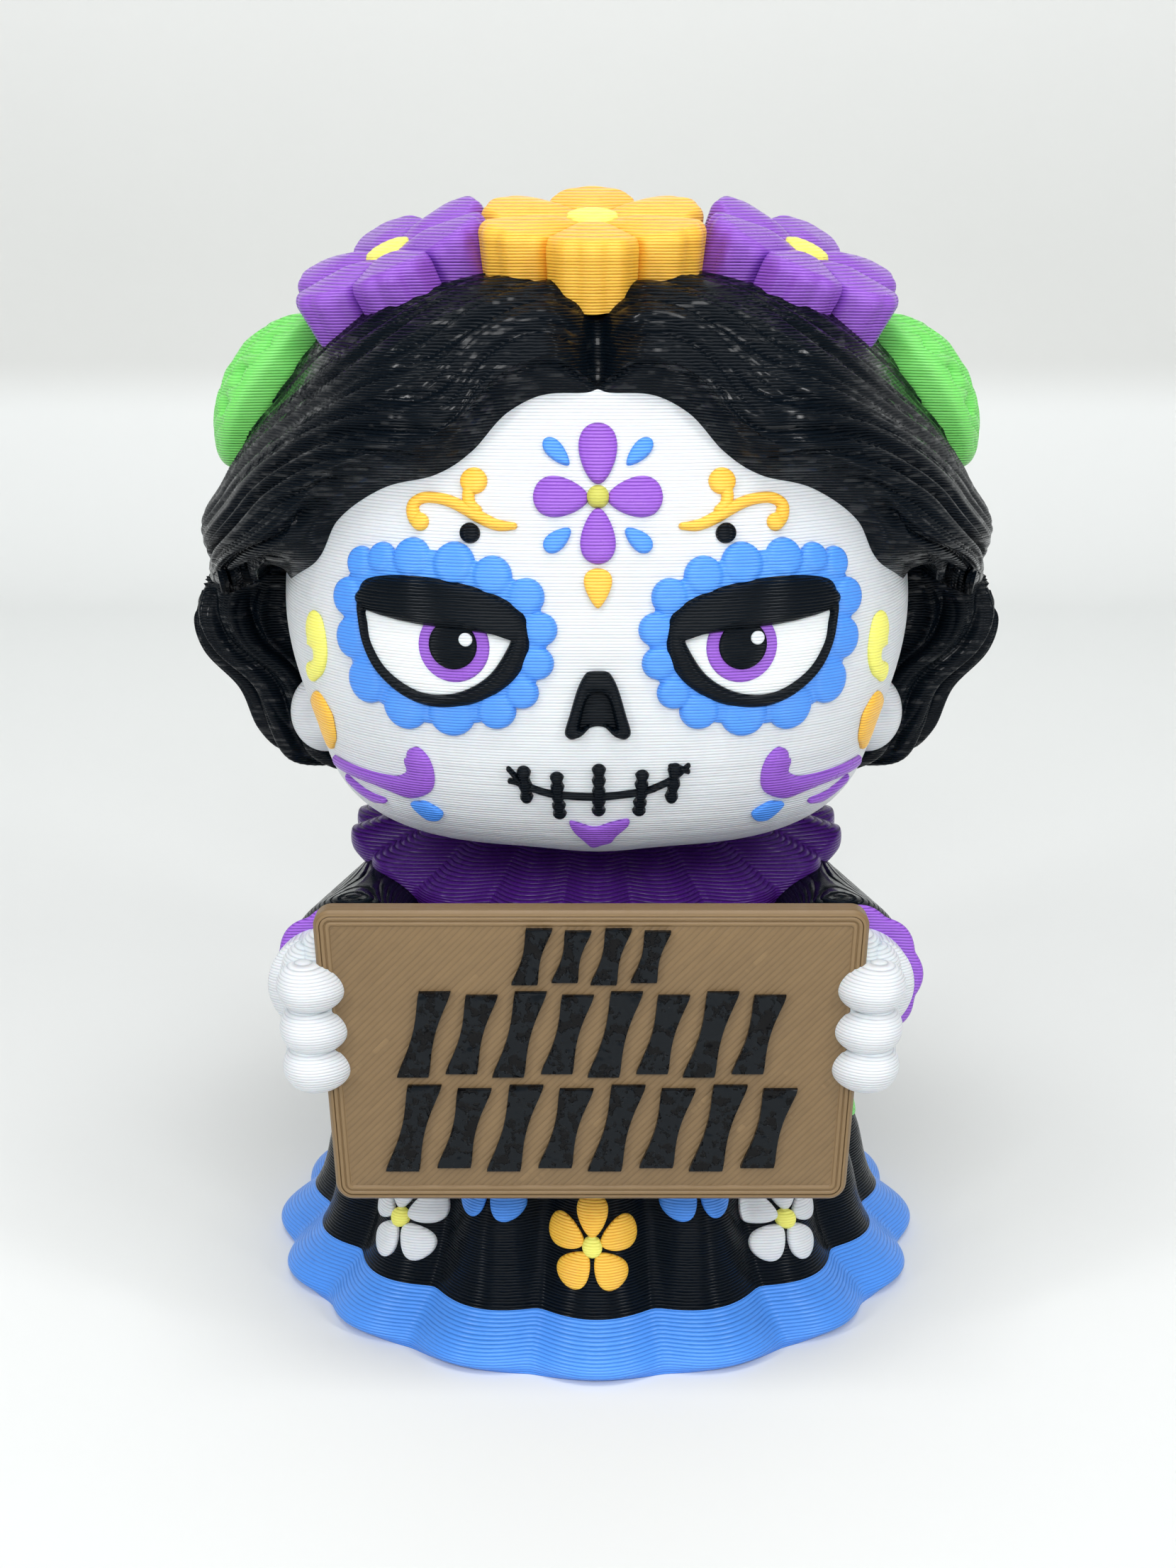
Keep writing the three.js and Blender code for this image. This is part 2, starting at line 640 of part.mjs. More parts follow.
function signShape(grow) {
  const bottom = SIGN_BOTTOM_Z - grow;
  const top = SIGN_TOP_Z + grow;
  const low = SIGN_BOTTOM_HALF + grow;
  const high = SIGN_TOP_HALF + grow;
  const corner = SIGN_CORNER;
  const shape = new THREE.Shape();
  shape.moveTo(SIGN_X - low + corner, bottom);
  shape.lineTo(SIGN_X + low - corner, bottom);
  shape.quadraticCurveTo(SIGN_X + low, bottom, SIGN_X + low, bottom + corner);
  shape.lineTo(SIGN_X + high, top - corner);
  shape.quadraticCurveTo(SIGN_X + high, top, SIGN_X + high - corner, top);
  shape.lineTo(SIGN_X - high + corner, top);
  shape.quadraticCurveTo(SIGN_X - high, top, SIGN_X - high, top - corner);
  shape.lineTo(SIGN_X - low, bottom + corner);
  shape.quadraticCurveTo(SIGN_X - low, bottom, SIGN_X - low + corner, bottom);
  return shape;
}

// A plate standing in the x-z plane from an outline, its front face at frontY.
function plate(shape, thickness, frontY, edge) {
  const geometry = new THREE.ExtrudeGeometry(shape, {
    depth: thickness - 2 * edge,
    bevelEnabled: edge > 0,
    bevelThickness: edge,
    bevelSize: edge,
    bevelOffset: -edge,
    bevelSegments: 1,
    curveSegments: 3,
  });
  geometry.rotateX(Math.PI / 2);
  geometry.translate(0, frontY + thickness - edge, 0);
  return geometry;
}

// A leaning stroke, narrow in the middle and swollen at both ends.
function strokeShape(x, z, wide, tall) {
  const lean = (STROKE_LEAN * tall) / 2;
  const waist = STROKE_WAIST * wide;
  const half = wide / 2;
  const shape = new THREE.Shape();
  shape.moveTo(x - lean - half, z - tall / 2);
  shape.lineTo(x - lean + half, z - tall / 2);
  shape.lineTo(x + waist, z);
  shape.lineTo(x + lean + half, z + tall / 2);
  shape.lineTo(x + lean - half, z + tall / 2);
  shape.lineTo(x - waist, z);
  return shape;
}

function signStrokes() {
  const made = [];
  STROKE_ROWS.forEach((row) => {
    const pitch = row.width / row.count;
    for (let i = 0; i < row.count; i += 1) {
      const x = SIGN_X + pitch * (i + 0.5) - row.width / 2;
      const shape = strokeShape(x, row.z, pitch * STROKE_SHARE, row.tall * (i % 2 ? 0.92 : 1));
      const geometry = plate(shape, STROKE_HEIGHT + 0.4, SIGN_FRONT_Y - STROKE_HEIGHT, 0);
      made.push(geometry);
    }
  });
  return made;
}

function signBoard() {
  const board = plate(signShape(0), SIGN_THICKNESS, SIGN_FRONT_Y, SIGN_EDGE);
  return joined([board, ...signStrokes()].map(solid));
}

// The room that the hands leave round the sign.
function signRoom() {
  return solid(plate(signShape(CLEARANCE), SIGN_THICKNESS + 2 * CLEARANCE, SIGN_FRONT_Y - CLEARANCE, 0));
}

function catrinaFigure() {
  const pair = (geometry) => [geometry, mirrored(geometry, 0)];
  const ear = ellipsoid(...EAR_CENTRE, EAR, 8, 6);
  const body = joined([
    skirt(), ...skirtBlossoms(), torso(), collar(), ...pair(sleeve()), ...pair(cuff()),
  ].map(solid));
  const hands = handPieces().flatMap((g) => [g, mirrored(g, SIGN_X)]).map(solid);
  const face = joined([
    ...[head(), ...pair(ear), ...mouth(), ...foreheadFlower()].map(solid), eye(-1), eye(1), nose(),
  ]);
  const crown = [
    hair(), crownFlower(CENTRE_FLOWER, -1), crownFlower(SIDE_FLOWER, -1), crownFlower(SIDE_FLOWER, 1),
    ...pair(leaf()),
  ].map(solid);
  return joined([body, ...hands, face, ...crown]).subtract(signRoom());
}

function named(name, made, colour, roughness) {
  const material = new THREE.MeshStandardMaterial({ color: colour, roughness, metalness: 0 });
  const mesh = new THREE.Mesh(geometryOf(made), material);
  mesh.name = name;
  return mesh;
}

const part = new THREE.Group();
part.add(named('catrina_figure', catrinaFigure(), 0x17171a, 0.35));
part.add(named('sign_board', signBoard(), 0x8a6a4c, 0.5));

export default part;
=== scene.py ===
# Catrina figure: the looks of a small multi-colour print with a flower crown and a sign.
# Shapes are worked out in millimetres and put into the meshes in metres.
import math

import bpy
import numpy as np
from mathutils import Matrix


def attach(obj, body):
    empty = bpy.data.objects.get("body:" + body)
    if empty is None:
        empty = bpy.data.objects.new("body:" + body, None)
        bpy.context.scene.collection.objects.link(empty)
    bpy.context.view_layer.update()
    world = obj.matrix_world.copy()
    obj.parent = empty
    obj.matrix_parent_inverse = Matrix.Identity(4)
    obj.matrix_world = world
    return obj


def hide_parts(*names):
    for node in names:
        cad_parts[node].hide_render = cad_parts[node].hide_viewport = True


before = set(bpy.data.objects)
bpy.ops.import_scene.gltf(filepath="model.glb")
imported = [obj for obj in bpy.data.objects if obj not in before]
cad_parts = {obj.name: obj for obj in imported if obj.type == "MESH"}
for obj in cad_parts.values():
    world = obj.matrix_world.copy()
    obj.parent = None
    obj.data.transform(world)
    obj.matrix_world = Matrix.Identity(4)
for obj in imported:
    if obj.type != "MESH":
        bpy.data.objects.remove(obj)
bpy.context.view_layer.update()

MM = 0.001            # one millimetre in metres
TURN = 2 * np.pi
SIDES = (-1, 1)
LAYER = 0.24          # height of one printed layer
LINE = 0.42           # width of one printed line on the sign's face

# Skirt, as in the part: heights, radii of the flute crests, depths of the valleys.
FLUTES = 16
HEM_HEIGHT = 4.4
SKIRT_TOP = 30
SKIRT_Z = [0, 0.9, 4.4, 11, 18, 24, 30]
SKIRT_CREST = [29.3, 30.385, 27.0, 24.9, 22.1, 18.0, 13.0]
SKIRT_DIP = [0.5, 1.5, 1.5, 2.0, 1.6, 1.0, 0]

TORSO_Z = [24, 30, 35, 39, 43]
TORSO_X = [12.5, 12.8, 15.5, 16.5, 13]
TORSO_Y = [11, 11, 12, 12, 11]

COLLAR_RUFFLES = 18
COLLAR_FRONT_RADIUS, COLLAR_SIDE_RADIUS = 19.0, 21.9
COLLAR_FRONT_Z, COLLAR_SIDE_Z = 37.6, 40.6
COLLAR_NECK_RADIUS, COLLAR_NECK_Z = 9, 46
COLLAR_THICKNESS = 1.6

SHOULDER = np.array([13, -1, 37.5])
ELBOW = np.array([20.2, -5, 31.5])
WRIST = np.array([20.8, -24, 34.6])
SLEEVE_RADIUS = 5.5
CUFF_CENTRE = np.array([20.7, -26.2, 35.1])
CUFF_RADIUS = 5.8
CUFF_WAVES = 9
# Down the cuff: how far forward, and the share of its radius.
CUFF_PROFILE = [(-3.2, 0), (-3.2, 0.80), (-3.1, 0.85), (-2.6, 0.88), (-1.8, 0.92), (-1.0, 0.96),
                (-0.4, 0.99), (0, 1.0), (0.25, 0.97), (0.3, 0.9), (0.1, 0.72), (-0.6, 0)]

SIGN_X = -0.5
SIGN_FRONT_Y = -32
SIGN_THICKNESS = 2.2
SIGN_BOTTOM_Z, SIGN_TOP_Z = 17.9, 42.5
SIGN_BOTTOM_HALF, SIGN_TOP_HALF = 20.5, 21.8
SIGN_CORNER = 1.4
SIGN_BORDER = 1.3
BORDER_DEPTH = 0.13
# Rows of strokes: height of the row's middle, its width, the strokes' height, their number.
STROKE_ROWS = [(38.8, 12.4, 4.6, 4), (32.3, 30.2, 7.2, 8), (24.3, 32.4, 7.4, 8)]

HAND_OUT = 22
FINGER_Z = [36.1, 32.65, 29.45]
FINGER_HALF = (2.7, 2.65, 2.1)
KNUCKLE_HALF = (2.4, 2.9, 2.5)
PALM_HALF = (2.6, 4.6, 4.7)
HAND_WRIST = np.array([21.2, -22, 34.8]), np.array([22, -29, 34.6])
HAND_WRIST_RADIUS = 4.3

HEAD_CENTRE = np.array([0, -5, 59.8])
HEAD_SIDE, HEAD_FRONT, HEAD_BACK = 26.7, 26, 22
HEAD_UP, HEAD_DOWN = 28, 18.8
EAR_CENTRE = np.array([24.3, -2.5, 51.4])
EAR_HALF = np.array([3.1, 2.4, 3.6])
EAR_HOLLOW = np.array([0.35, -0.9, 0.1])

HAIR_CENTRE_Z = 66
HAIR_BACK_Y = 27
HAIR_WIDEST_Y = 1.5
HAIR_SET_BACK = 5
HAIR_INSIDE = np.array([0, 2, 68.0])
# The hair's outline from the front and the hairline, by the angle from the parting.
OUTLINE_ANGLE = [0, 25, 50, 65, 79, 85, 90, 94, 100, 105, 112, 119, 125, 131, 141, 160, 180]
OUTLINE_RADIUS = [24.4, 26.4, 29.9, 31.6, 33.3, 34.7, 34.2, 35, 37, 37, 35.2, 35.4, 34.8, 32,
                  27.5, 22.6, 20.8]
HAIRLINE_ANGLE = [0, 16, 25, 38, 52, 66, 76, 85, 89, 91]
HAIRLINE_AZIMUTH = [0, 13.5, 19.8, 24.8, 30.8, 41.2, 49.6, 54, 61.6, 66]
HAIRLINE_ELEVATION = [49.9, 48.8, 45, 37.6, 32.9, 29.4, 23.6, 16.5, 13.5, 12]
HAIR_ROLL = 3.4
HAIR_ROLL_RISE = 1.2
PARTING_DEPTH = 1.4
SWOOP_END, BOB_START = 91, 93.5
BOB_RIDGE, BOB_RIDGE_Y = 0.82, -2.5   # the bob's ridge: share of the outline's radius, and y
BOB_LINE, BOB_LINE_Y = 0.62, 1.0      # where the bob meets the neck, in the same way
STRAND, BOB_LOCK = 1.15, 2.7          # width of a strand of the hood and of a lock of the bob
BACK_STRANDS = 26
STRAND_SWEEP, SWEEP_START = 16, 38    # how far the strands swing out, from which angle on
TUCK_DEPTH, TUCK_START = 1.2, 86      # how deep the swoop's end is tucked in, from which angle on
NAPE_START, NAPE_FULL = 168, 177      # the bob's grooves fade out between these angles

# Flowers: place, radius, lean forward and roll to the side in degrees, thickness.
PETALS = 6
CENTRE_FLOWER = dict(at=(-0.4, -12, 94.9), radius=9.9, lean=12.5, roll=0, thick=5.8)
SIDE_FLOWER = dict(at=(-17.3, -9.5, 92.2), radius=9.2, lean=12.5, roll=24, thick=6.4)
LEAF_CENTRE = np.array([-29.7, -2.8, 80.8])
LEAF_LENGTH, LEAF_WIDTH, LEAF_THICKNESS, LEAF_BOW = 15.4, 9.4, 5, 2.1
LEAF_ALONG, LEAF_FACING = np.array([-0.55, 0.06, -0.83]), np.array([-0.8, -0.28, 0.53])
LEAF_PITS = (-0.46, -0.06, 0.34)

# Face ornaments, as directions from the head's centre in degrees: (away from the middle, up).
# Those of the eyes, brows, temples and cheeks are given for one side and drawn on both.
EYE_LOBES = [(41.3, 18.6), (37.1, 19.8), (31.6, 20.4), (24.3, 20.2), (17.8, 18.8), (12.1, 15.8),
             (9.7, 10.4), (10.2, 4.6), (12.6, -0.6), (16.8, -3.8), (24.2, -4.6), (32.1, -3.9),
             (39.1, -0.4), (41.8, 6.4), (43.2, 12.9)]
EYE_MIDDLE = (27.2, 5.4)
EYE_RIM = [(40.4, 14.2), (36.7, 16.4), (28, 17.1), (19, 16), (12.6, 13), (11.2, 8), (12.6, 3.4),
           (16.2, -0.2), (21.6, -2.6), (27.4, -3), (32.7, -1.2), (37.2, 2.6), (39.6, 7.8)]
EYE_WHITE = [(38.7, 11.2), (34, 10.4), (26, 9.9), (18, 9.5), (14.6, 8.9), (14.6, 7.2), (17.8, 2.4),
             (23, -0.6), (29, -0.9), (34.6, 1.9), (37.7, 5.8), (38.6, 9)]
EYE_LID = [(40.6, 13.6), (36.8, 16.1), (28, 16.8), (19.2, 15.8), (13, 12.9), (11.4, 9.4),
           (12.2, 7.9), (15, 8.8), (22, 9.6), (30, 9.9), (38, 10.9), (40.7, 12)]
IRIS = (23.4, 6.9)
# The nose and the hollow in it: their right halves, from the top to the bottom.
NOSE_MIDDLE = (0, -3.6)
NOSE = [(0, 3.5), (1.2, 3.4), (2.2, 2.8), (3.4, 0.4), (4.7, -4), (5.5, -6.9), (4.9, -8), (4, -8.1),
        (2.8, -7.6), (1.6, -6.5), (0, -6.1)]
NOSTRIL = [(0, -0.1), (1.2, -0.4), (2.1, -1.8), (2.9, -4.8), (3, -6.5), (1.6, -5.8), (0, -5.6)]
MOUTH = [(-15.7, -13.5), (-13.4, -16.5), (-10.9, -18.1), (-7.1, -19.2), (0.2, -19.7), (7.7, -18.6),
         (11.1, -17.2), (13.5, -15.5), (15.9, -12.9)]
MOUTH_FORKS = [[(-15.9, -16.2), (-14.4, -16.4), (-13.2, -17.1)],
               [(16.1, -14.5), (14.4, -13.9), (12.2, -13.3)]]
# Stitches: away from the middle, top, bottom, and the widths down the stitch.
LONG_STITCH = [0.95, 1.15, 0.78, 1.15, 0.75, 1.1, 0.75, 1.15, 0.78, 1.15, 0.95]
SHORT_STITCH = LONG_STITCH[:7]
STITCHES = [(-12.9, -13.3, -20.8, SHORT_STITCH), (-7.2, -14.5, -24.7, LONG_STITCH),
            (0.2, -13, -24, LONG_STITCH), (7.8, -14.1, -23.9, LONG_STITCH),
            (13.4, -12.8, -20.8, SHORT_STITCH)]
CHIN_HEART = [(-5.5, -26), (-3.9, -26.3), (-0.6, -27.7), (2.6, -26.3), (5.8, -25.3), (6.1, -27),
              (3.9, -30.5), (3, -33), (1, -34.2), (-1.1, -35.5), (-2.9, -32.4), (-4.9, -28.8)]
FOREHEAD_FLOWER = (0, 31.5)
# Petals: away from the middle, up, the way they point, length, width.
FOREHEAD_PETALS = [(0, 38.8, 90, 10.2, 5.9), (0, 25.3, -90, 8.8, 5.4),
                   (-6.8, 31.4, 180, 8.6, 6.2), (6.8, 31.4, 0, 8.6, 6.2)]
BROW_SCROLL = [(31.2, 25), (32.8, 26.3), (33.3, 27.9), (31.8, 29.1), (29.2, 29.4), (26.4, 29.1),
               (23.4, 28.2), (20.8, 27.2), (17.6, 26.3), (14.2, 26.4)]
BROW_CURL = [(23.2, 32.2), (23.6, 30.6), (22.9, 29), (20.8, 27.8)]
TEMPLE_COMMA = [(55.2, 6.9), (52.6, 5.9), (50.9, 3.4), (51.6, 0.6), (54.4, -1.1), (56.6, -1.6)]
CHEEK_FLAME = [(54, -4.6), (54.3, -7.8), (54.6, -10.6), (55.5, -13.1), (56.2, -15.8)]
CHEEK_SCROLL = [(57.4, -18.5), (52.5, -18.3), (47.3, -18.3), (43.2, -18.4), (39.4, -18.7),
                (35.8, -18.9), (32.6, -17.4), (31.6, -15), (32, -12.4), (32.8, -11.2)]
CHEEK_BLADE = [(54.6, -20.9), (51.4, -22.4), (47.6, -23.6), (42.9, -23.3)]
CHEEK_DROP = [(36.2, -22.6), (34.2, -21.9), (32.4, -21.9), (30.2, -24), (31.6, -26.2), (34.2, -26.8),
              (35.5, -25.2)]


# ---------------------------------------------------------------- curves and grids

def smoothstep(x, low, high):
    """0 below low, 1 above high, and 3t^2 - 2t^3 between them."""
    t = np.clip((x - low) / (high - low), 0, 1)
    return t * t * (3 - 2 * t)


def smooth(keys, values, x):
    """A cubic through the values at rising keys; its slope at a key is the mean of the slopes
    on its two sides."""
    keys, values = np.array(keys, float), np.array(values, float)
    secant = np.diff(values) / np.diff(keys)
    slope = np.concatenate([secant[:1], (secant[1:] + secant[:-1]) / 2, secant[-1:]])
    i = np.clip(np.searchsorted(keys, x, side="right") - 1, 0, len(keys) - 2)
    step = keys[i + 1] - keys[i]
    p = (x - keys[i]) / step
    return ((2 * p**3 - 3 * p**2 + 1) * values[i] + (p**3 - 2 * p**2 + p) * step * slope[i]
            + (3 * p**2 - 2 * p**3) * values[i + 1] + (p**3 - p**2) * step * slope[i + 1])


def cubic(p0, p1, p2, p3, f):
    """The cubic from p1 to p2 whose slopes there are (p2 - p0) / 2 and (p3 - p1) / 2."""
    return 0.5 * (2 * p1 + (p2 - p0) * f + (2 * p0 - 5 * p1 + 4 * p2 - p3) * f**2
                  + (3 * p1 - p0 - 3 * p2 + p3) * f**3)


def round_through(points, count):
    """A closed line of count points through the given ones, in cubics."""
    p = np.array(points, float)
    t = np.arange(count) * len(p) / count
    i = t.astype(int)
    n = len(p)
    return cubic(p[i - 1], p[i], p[(i + 1) % n], p[(i + 2) % n], (t - i)[:, None])


def line_through(points, count):
    """An open line of count points through the given ones, in cubics, closer set at its ends:
    the fraction along is (1 - cos(pi s)) / 2."""
    p = np.array(points, float)
    p = np.vstack([2 * p[0] - p[1], p, 2 * p[-1] - p[-2]])
    t = (1 - np.cos(np.linspace(0, np.pi, count))) / 2 * (len(p) - 3)
    i = np.minimum(t.astype(int), len(p) - 4)
    return cubic(p[i], p[i + 1], p[i + 2], p[i + 3], (t - i)[:, None])


def reach_about(points, middle, turns):
    """How far a closed line reaches from its middle in each direction, by straight steps
    between its points ordered by their direction."""
    line = round_through(points, 600) - np.array(middle, float)
    direction = np.arctan2(line[:, 1], line[:, 0])
    order = np.argsort(direction)
    return np.interp(turns, direction[order], np.hypot(*line.T)[order], period=TURN)


def crests(turn, count, roundness):
    """1 on each of count crests round a turn, 0 in the valleys: |cos(count turn / 2)|^roundness."""
    return np.abs(np.cos(count * turn / 2)) ** roundness


def soft_crests(turn, count, roundness):
    """The same with rounded valleys: c = (cos^2 + 0.03)^(roundness / 2), stretched to 0..1."""
    low, high = 0.03 ** (roundness / 2), 1.03 ** (roundness / 2)
    return ((np.cos(count * turn / 2) ** 2 + 0.03) ** (roundness / 2) - low) / (high - low)


def mirrored(half):
    """A closed outline from its right half: the points between its two ends come again on the
    way back, with the first number's sign changed."""
    return half + [(-away, up) for away, up in half[-2:0:-1]]


def unit(v):
    """v / |v|."""
    return v / np.linalg.norm(v, axis=-1, keepdims=True)


def faced(verts, quads, tris):
    """Turns a closed form's faces outwards: the sum of p0 . (p1 x p2) over its triangles is
    made positive."""
    every = np.vstack([tris, quads[:, :3], quads[:, [0, 2, 3]]])
    a, b, c = (verts[every[:, k]] for k in range(3))
    if np.einsum("ij,ij->", a, np.cross(b, c)) < 0:
        quads, tris = quads[:, ::-1], tris[:, ::-1]
    return verts, quads, tris


def skin(points):
    """A closed form from a grid: the columns go once round, and the first and last rows each
    draw together in one point."""
    rows, columns = points.shape[:2]
    verts = np.vstack([points[0].mean(0), points[1:-1].reshape(-1, 3), points[-1].mean(0)])
    ring = np.arange(columns)
    after = np.roll(ring, -1)
    start = 1 + columns * np.arange(rows - 3)[:, None]
    quads = np.stack([start + ring, start + after, start + after + columns, start + ring + columns],
                     -1).reshape(-1, 4)
    last = 1 + columns * (rows - 3)
    tris = np.vstack([
        np.stack([0 * ring, 1 + after, 1 + ring], -1),
        np.stack([0 * ring + len(verts) - 1, last + ring, last + after], -1)])
    return faced(verts, quads, tris)


def hoop(points):
    """A closed ring from a grid: both its rows and its columns go once round."""
    rows, columns = points.shape[:2]
    at = np.arange(rows * columns).reshape(rows, columns)
    right, down = np.roll(at, -1, 1), np.roll(at, -1, 0)
    quads = np.stack([at, right, np.roll(right, -1, 0), down], -1).reshape(-1, 4)
    return faced(points.reshape(-1, 3), quads, np.zeros((0, 3), int))


def outward(points, centre):
    """The grid's own normals, the cross product of its two directions, turned away from centre."""
    down = np.gradient(points, axis=0)
    beside = (np.roll(points, -1, 1) - np.roll(points, 1, 1)) / 2
    n = np.cross(down, beside)
    n /= np.maximum(np.linalg.norm(n, axis=-1, keepdims=True), 1e-9)
    return n * np.where((n * (points - centre)).sum(-1, keepdims=True) < 0, -1, 1)


def piece(name, forms, finish, node="catrina_figure", sharp=50):
    """One Blender mesh of several closed forms, riding on the only body."""
    verts, quads, tris, seen = [], [], [], 0
    for v, q, t in forms:
        verts.append(v)
        quads.append(q + seen)
        tris.append(t + seen)
        seen += len(v)
    verts, quads, tris = np.vstack(verts) * MM, np.vstack(quads), np.vstack(tris)
    corners = np.concatenate([quads.ravel(), tris.ravel()]).astype(np.int32)
    sizes = np.concatenate([np.full(len(quads), 4), np.full(len(tris), 3)])
    mesh = bpy.data.meshes.new(name)
    mesh.vertices.add(len(verts))
    mesh.vertices.foreach_set("co", verts.astype(np.float32).ravel())
    mesh.loops.add(len(corners))
    mesh.loops.foreach_set("vertex_index", corners)
    mesh.polygons.add(len(sizes))
    starts = np.concatenate([[0], np.cumsum(sizes)[:-1]])
    mesh.polygons.foreach_set("loop_start", starts.astype(np.int32))
    mesh.polygons.foreach_set("use_smooth", np.ones(len(sizes), bool))
    mesh.update(calc_edges=True)
    mesh.validate()
    mesh.set_sharp_from_angle(angle=math.radians(sharp))
    mesh.materials.append(finish)
    made = bpy.data.objects.new(name, mesh)
    bpy.context.scene.collection.objects.link(made)
    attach(made, "root")
    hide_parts(node)
    return made


# ---------------------------------------------------------------- finishes

UP, BACK = (0.0, 0.0, 1.0), (0.0, 1.0, 0.0)


class Level:
    """A number that varies over a surface. Arithmetic on it adds Math nodes."""

    def __init__(self, finish, socket):
        self.finish, self.socket = finish, socket

    def math(self, operation, *others):
        """One Math node on this number and the others."""
        values = dict(enumerate((self, *others)))
        return self.finish.add("ShaderNodeMath", {"operation": operation}, values)

    def __add__(self, other):
        return self.math("ADD", other)

    def __sub__(self, other):
        return self.math("SUBTRACT", other)

    def __rsub__(self, other):
        return self * -1 + other

    def __mul__(self, other):
        return self.math("MULTIPLY", other)

    def __truediv__(self, other):
        return self.math("DIVIDE", other)

    def __pow__(self, other):
        return self.math("POWER", other)

    def __abs__(self):
        return self.math("ABSOLUTE")

    __radd__ = __add__
    __rmul__ = __mul__

    def part(self):
        """What is left after the whole number below."""
        return self.math("FRACT")

    def whole(self):
        """The whole number below."""
        return self.math("FLOOR")

    def within(self, low, high):
        """0 at low and 1 at high, held there beyond them."""
        return self.finish.add("ShaderNodeMapRange", {"interpolation_type": "SMOOTHSTEP"},
                               {0: self, 1: low, 2: high, 3: 0.0, 4: 1.0})


class Finish:
    """One material, built node by node. place is in metres, and x, y and z in millimetres."""

    def __init__(self, name):
        self.material = bpy.data.materials.new(name)
        self.material.use_nodes = True
        self.tree = self.material.node_tree
        self.tree.nodes.clear()
        self.place = self.add("ShaderNodeTexCoord", {}, {}, "Object")
        self.normal = self.add("ShaderNodeNewGeometry", {}, {}, "Normal")
        split = self.node("ShaderNodeSeparateXYZ", {}, {0: self.place})
        self.x, self.y, self.z = (Level(self, split.outputs[k]) * 1000 for k in range(3))

    def node(self, kind, settings, inputs):
        """A node of this kind, its settings first, then the values or links of its sockets."""
        made = self.tree.nodes.new(kind)
        for key, value in settings.items():
            setattr(made, key, value)
        for key, value in inputs.items():
            if isinstance(value, Level):
                self.tree.links.new(value.socket, made.inputs[key])
            else:
                made.inputs[key].default_value = value
        return made

    def add(self, kind, settings, inputs, output=0):
        """The level that one output of a new node gives."""
        return Level(self, self.node(kind, settings, inputs).outputs[output])

    def vector(self, operation, a, b=(0, 0, 0)):
        """Vector maths on two vectors."""
        output = "Value" if operation in ("DOT_PRODUCT", "LENGTH") else "Vector"
        return self.add("ShaderNodeVectorMath", {"operation": operation}, {0: a, 1: b}, output)

    def scaled(self, a, scale):
        """The vector a times a number."""
        return self.add("ShaderNodeVectorMath", {"operation": "SCALE"}, {0: a, 3: scale}, "Vector")

    def triple(self, x, y, z):
        """A vector from three numbers."""
        return self.add("ShaderNodeCombineXYZ", {}, {0: x, 1: y, 2: z})

    def run(self, step):
        """Places along a layer: x and y in metres, and a jump of step from one layer to the next."""
        return self.triple(self.x * MM, self.y * MM, step)

    def noise(self, where, scale, detail=2.0, rough=0.5):
        """Soft clouds from 0 to 1, scale of them to the metre."""
        return self.add("ShaderNodeTexNoise", {}, {
            "Vector": where, "Scale": scale, "Detail": detail, "Roughness": rough}, "Fac")

    def chance(self, number):
        """A random level from 0 to 1 for each whole number."""
        return self.add("ShaderNodeTexWhiteNoise", {"noise_dimensions": "1D"}, {"W": number}, "Value")

    def mix(self, amount, a, b):
        """Colour a where amount is 0 and b where it is 1."""
        return self.add("ShaderNodeMix", {"data_type": "RGBA"}, {0: amount, 6: a, 7: b}, 2)

    def tilted(self, normal, axis, tilt):
        """The normal leaned by tilt along the surface towards axis: N + tilt * unit(A - N (N.A)),
        let go where the surface faces the axis."""
        facing = self.vector("DOT_PRODUCT", normal, axis)
        along = self.vector("SUBTRACT", axis, self.scaled(normal, facing))
        steep = self.vector("LENGTH", along).within(0.02, 0.3)
        lean = self.scaled(self.vector("NORMALIZE", along), tilt * steep)
        return self.vector("NORMALIZE", self.vector("ADD", normal, lean))

    def surface(self, colour, roughness, normal, **constants):
        """Ends the material in one shader; constants are the same all over."""
        shader = self.node("ShaderNodeBsdfPrincipled", {}, {
            "Base Color": colour, "Roughness": roughness, "Normal": normal, **constants})
        out = self.node("ShaderNodeOutputMaterial", {}, {})
        self.tree.links.new(shader.outputs[0], out.inputs[0])
        return self.material


def rgba(r, g, b):
    """A full colour from red, green and blue, in linear light."""
    return (r, g, b, 1.0)


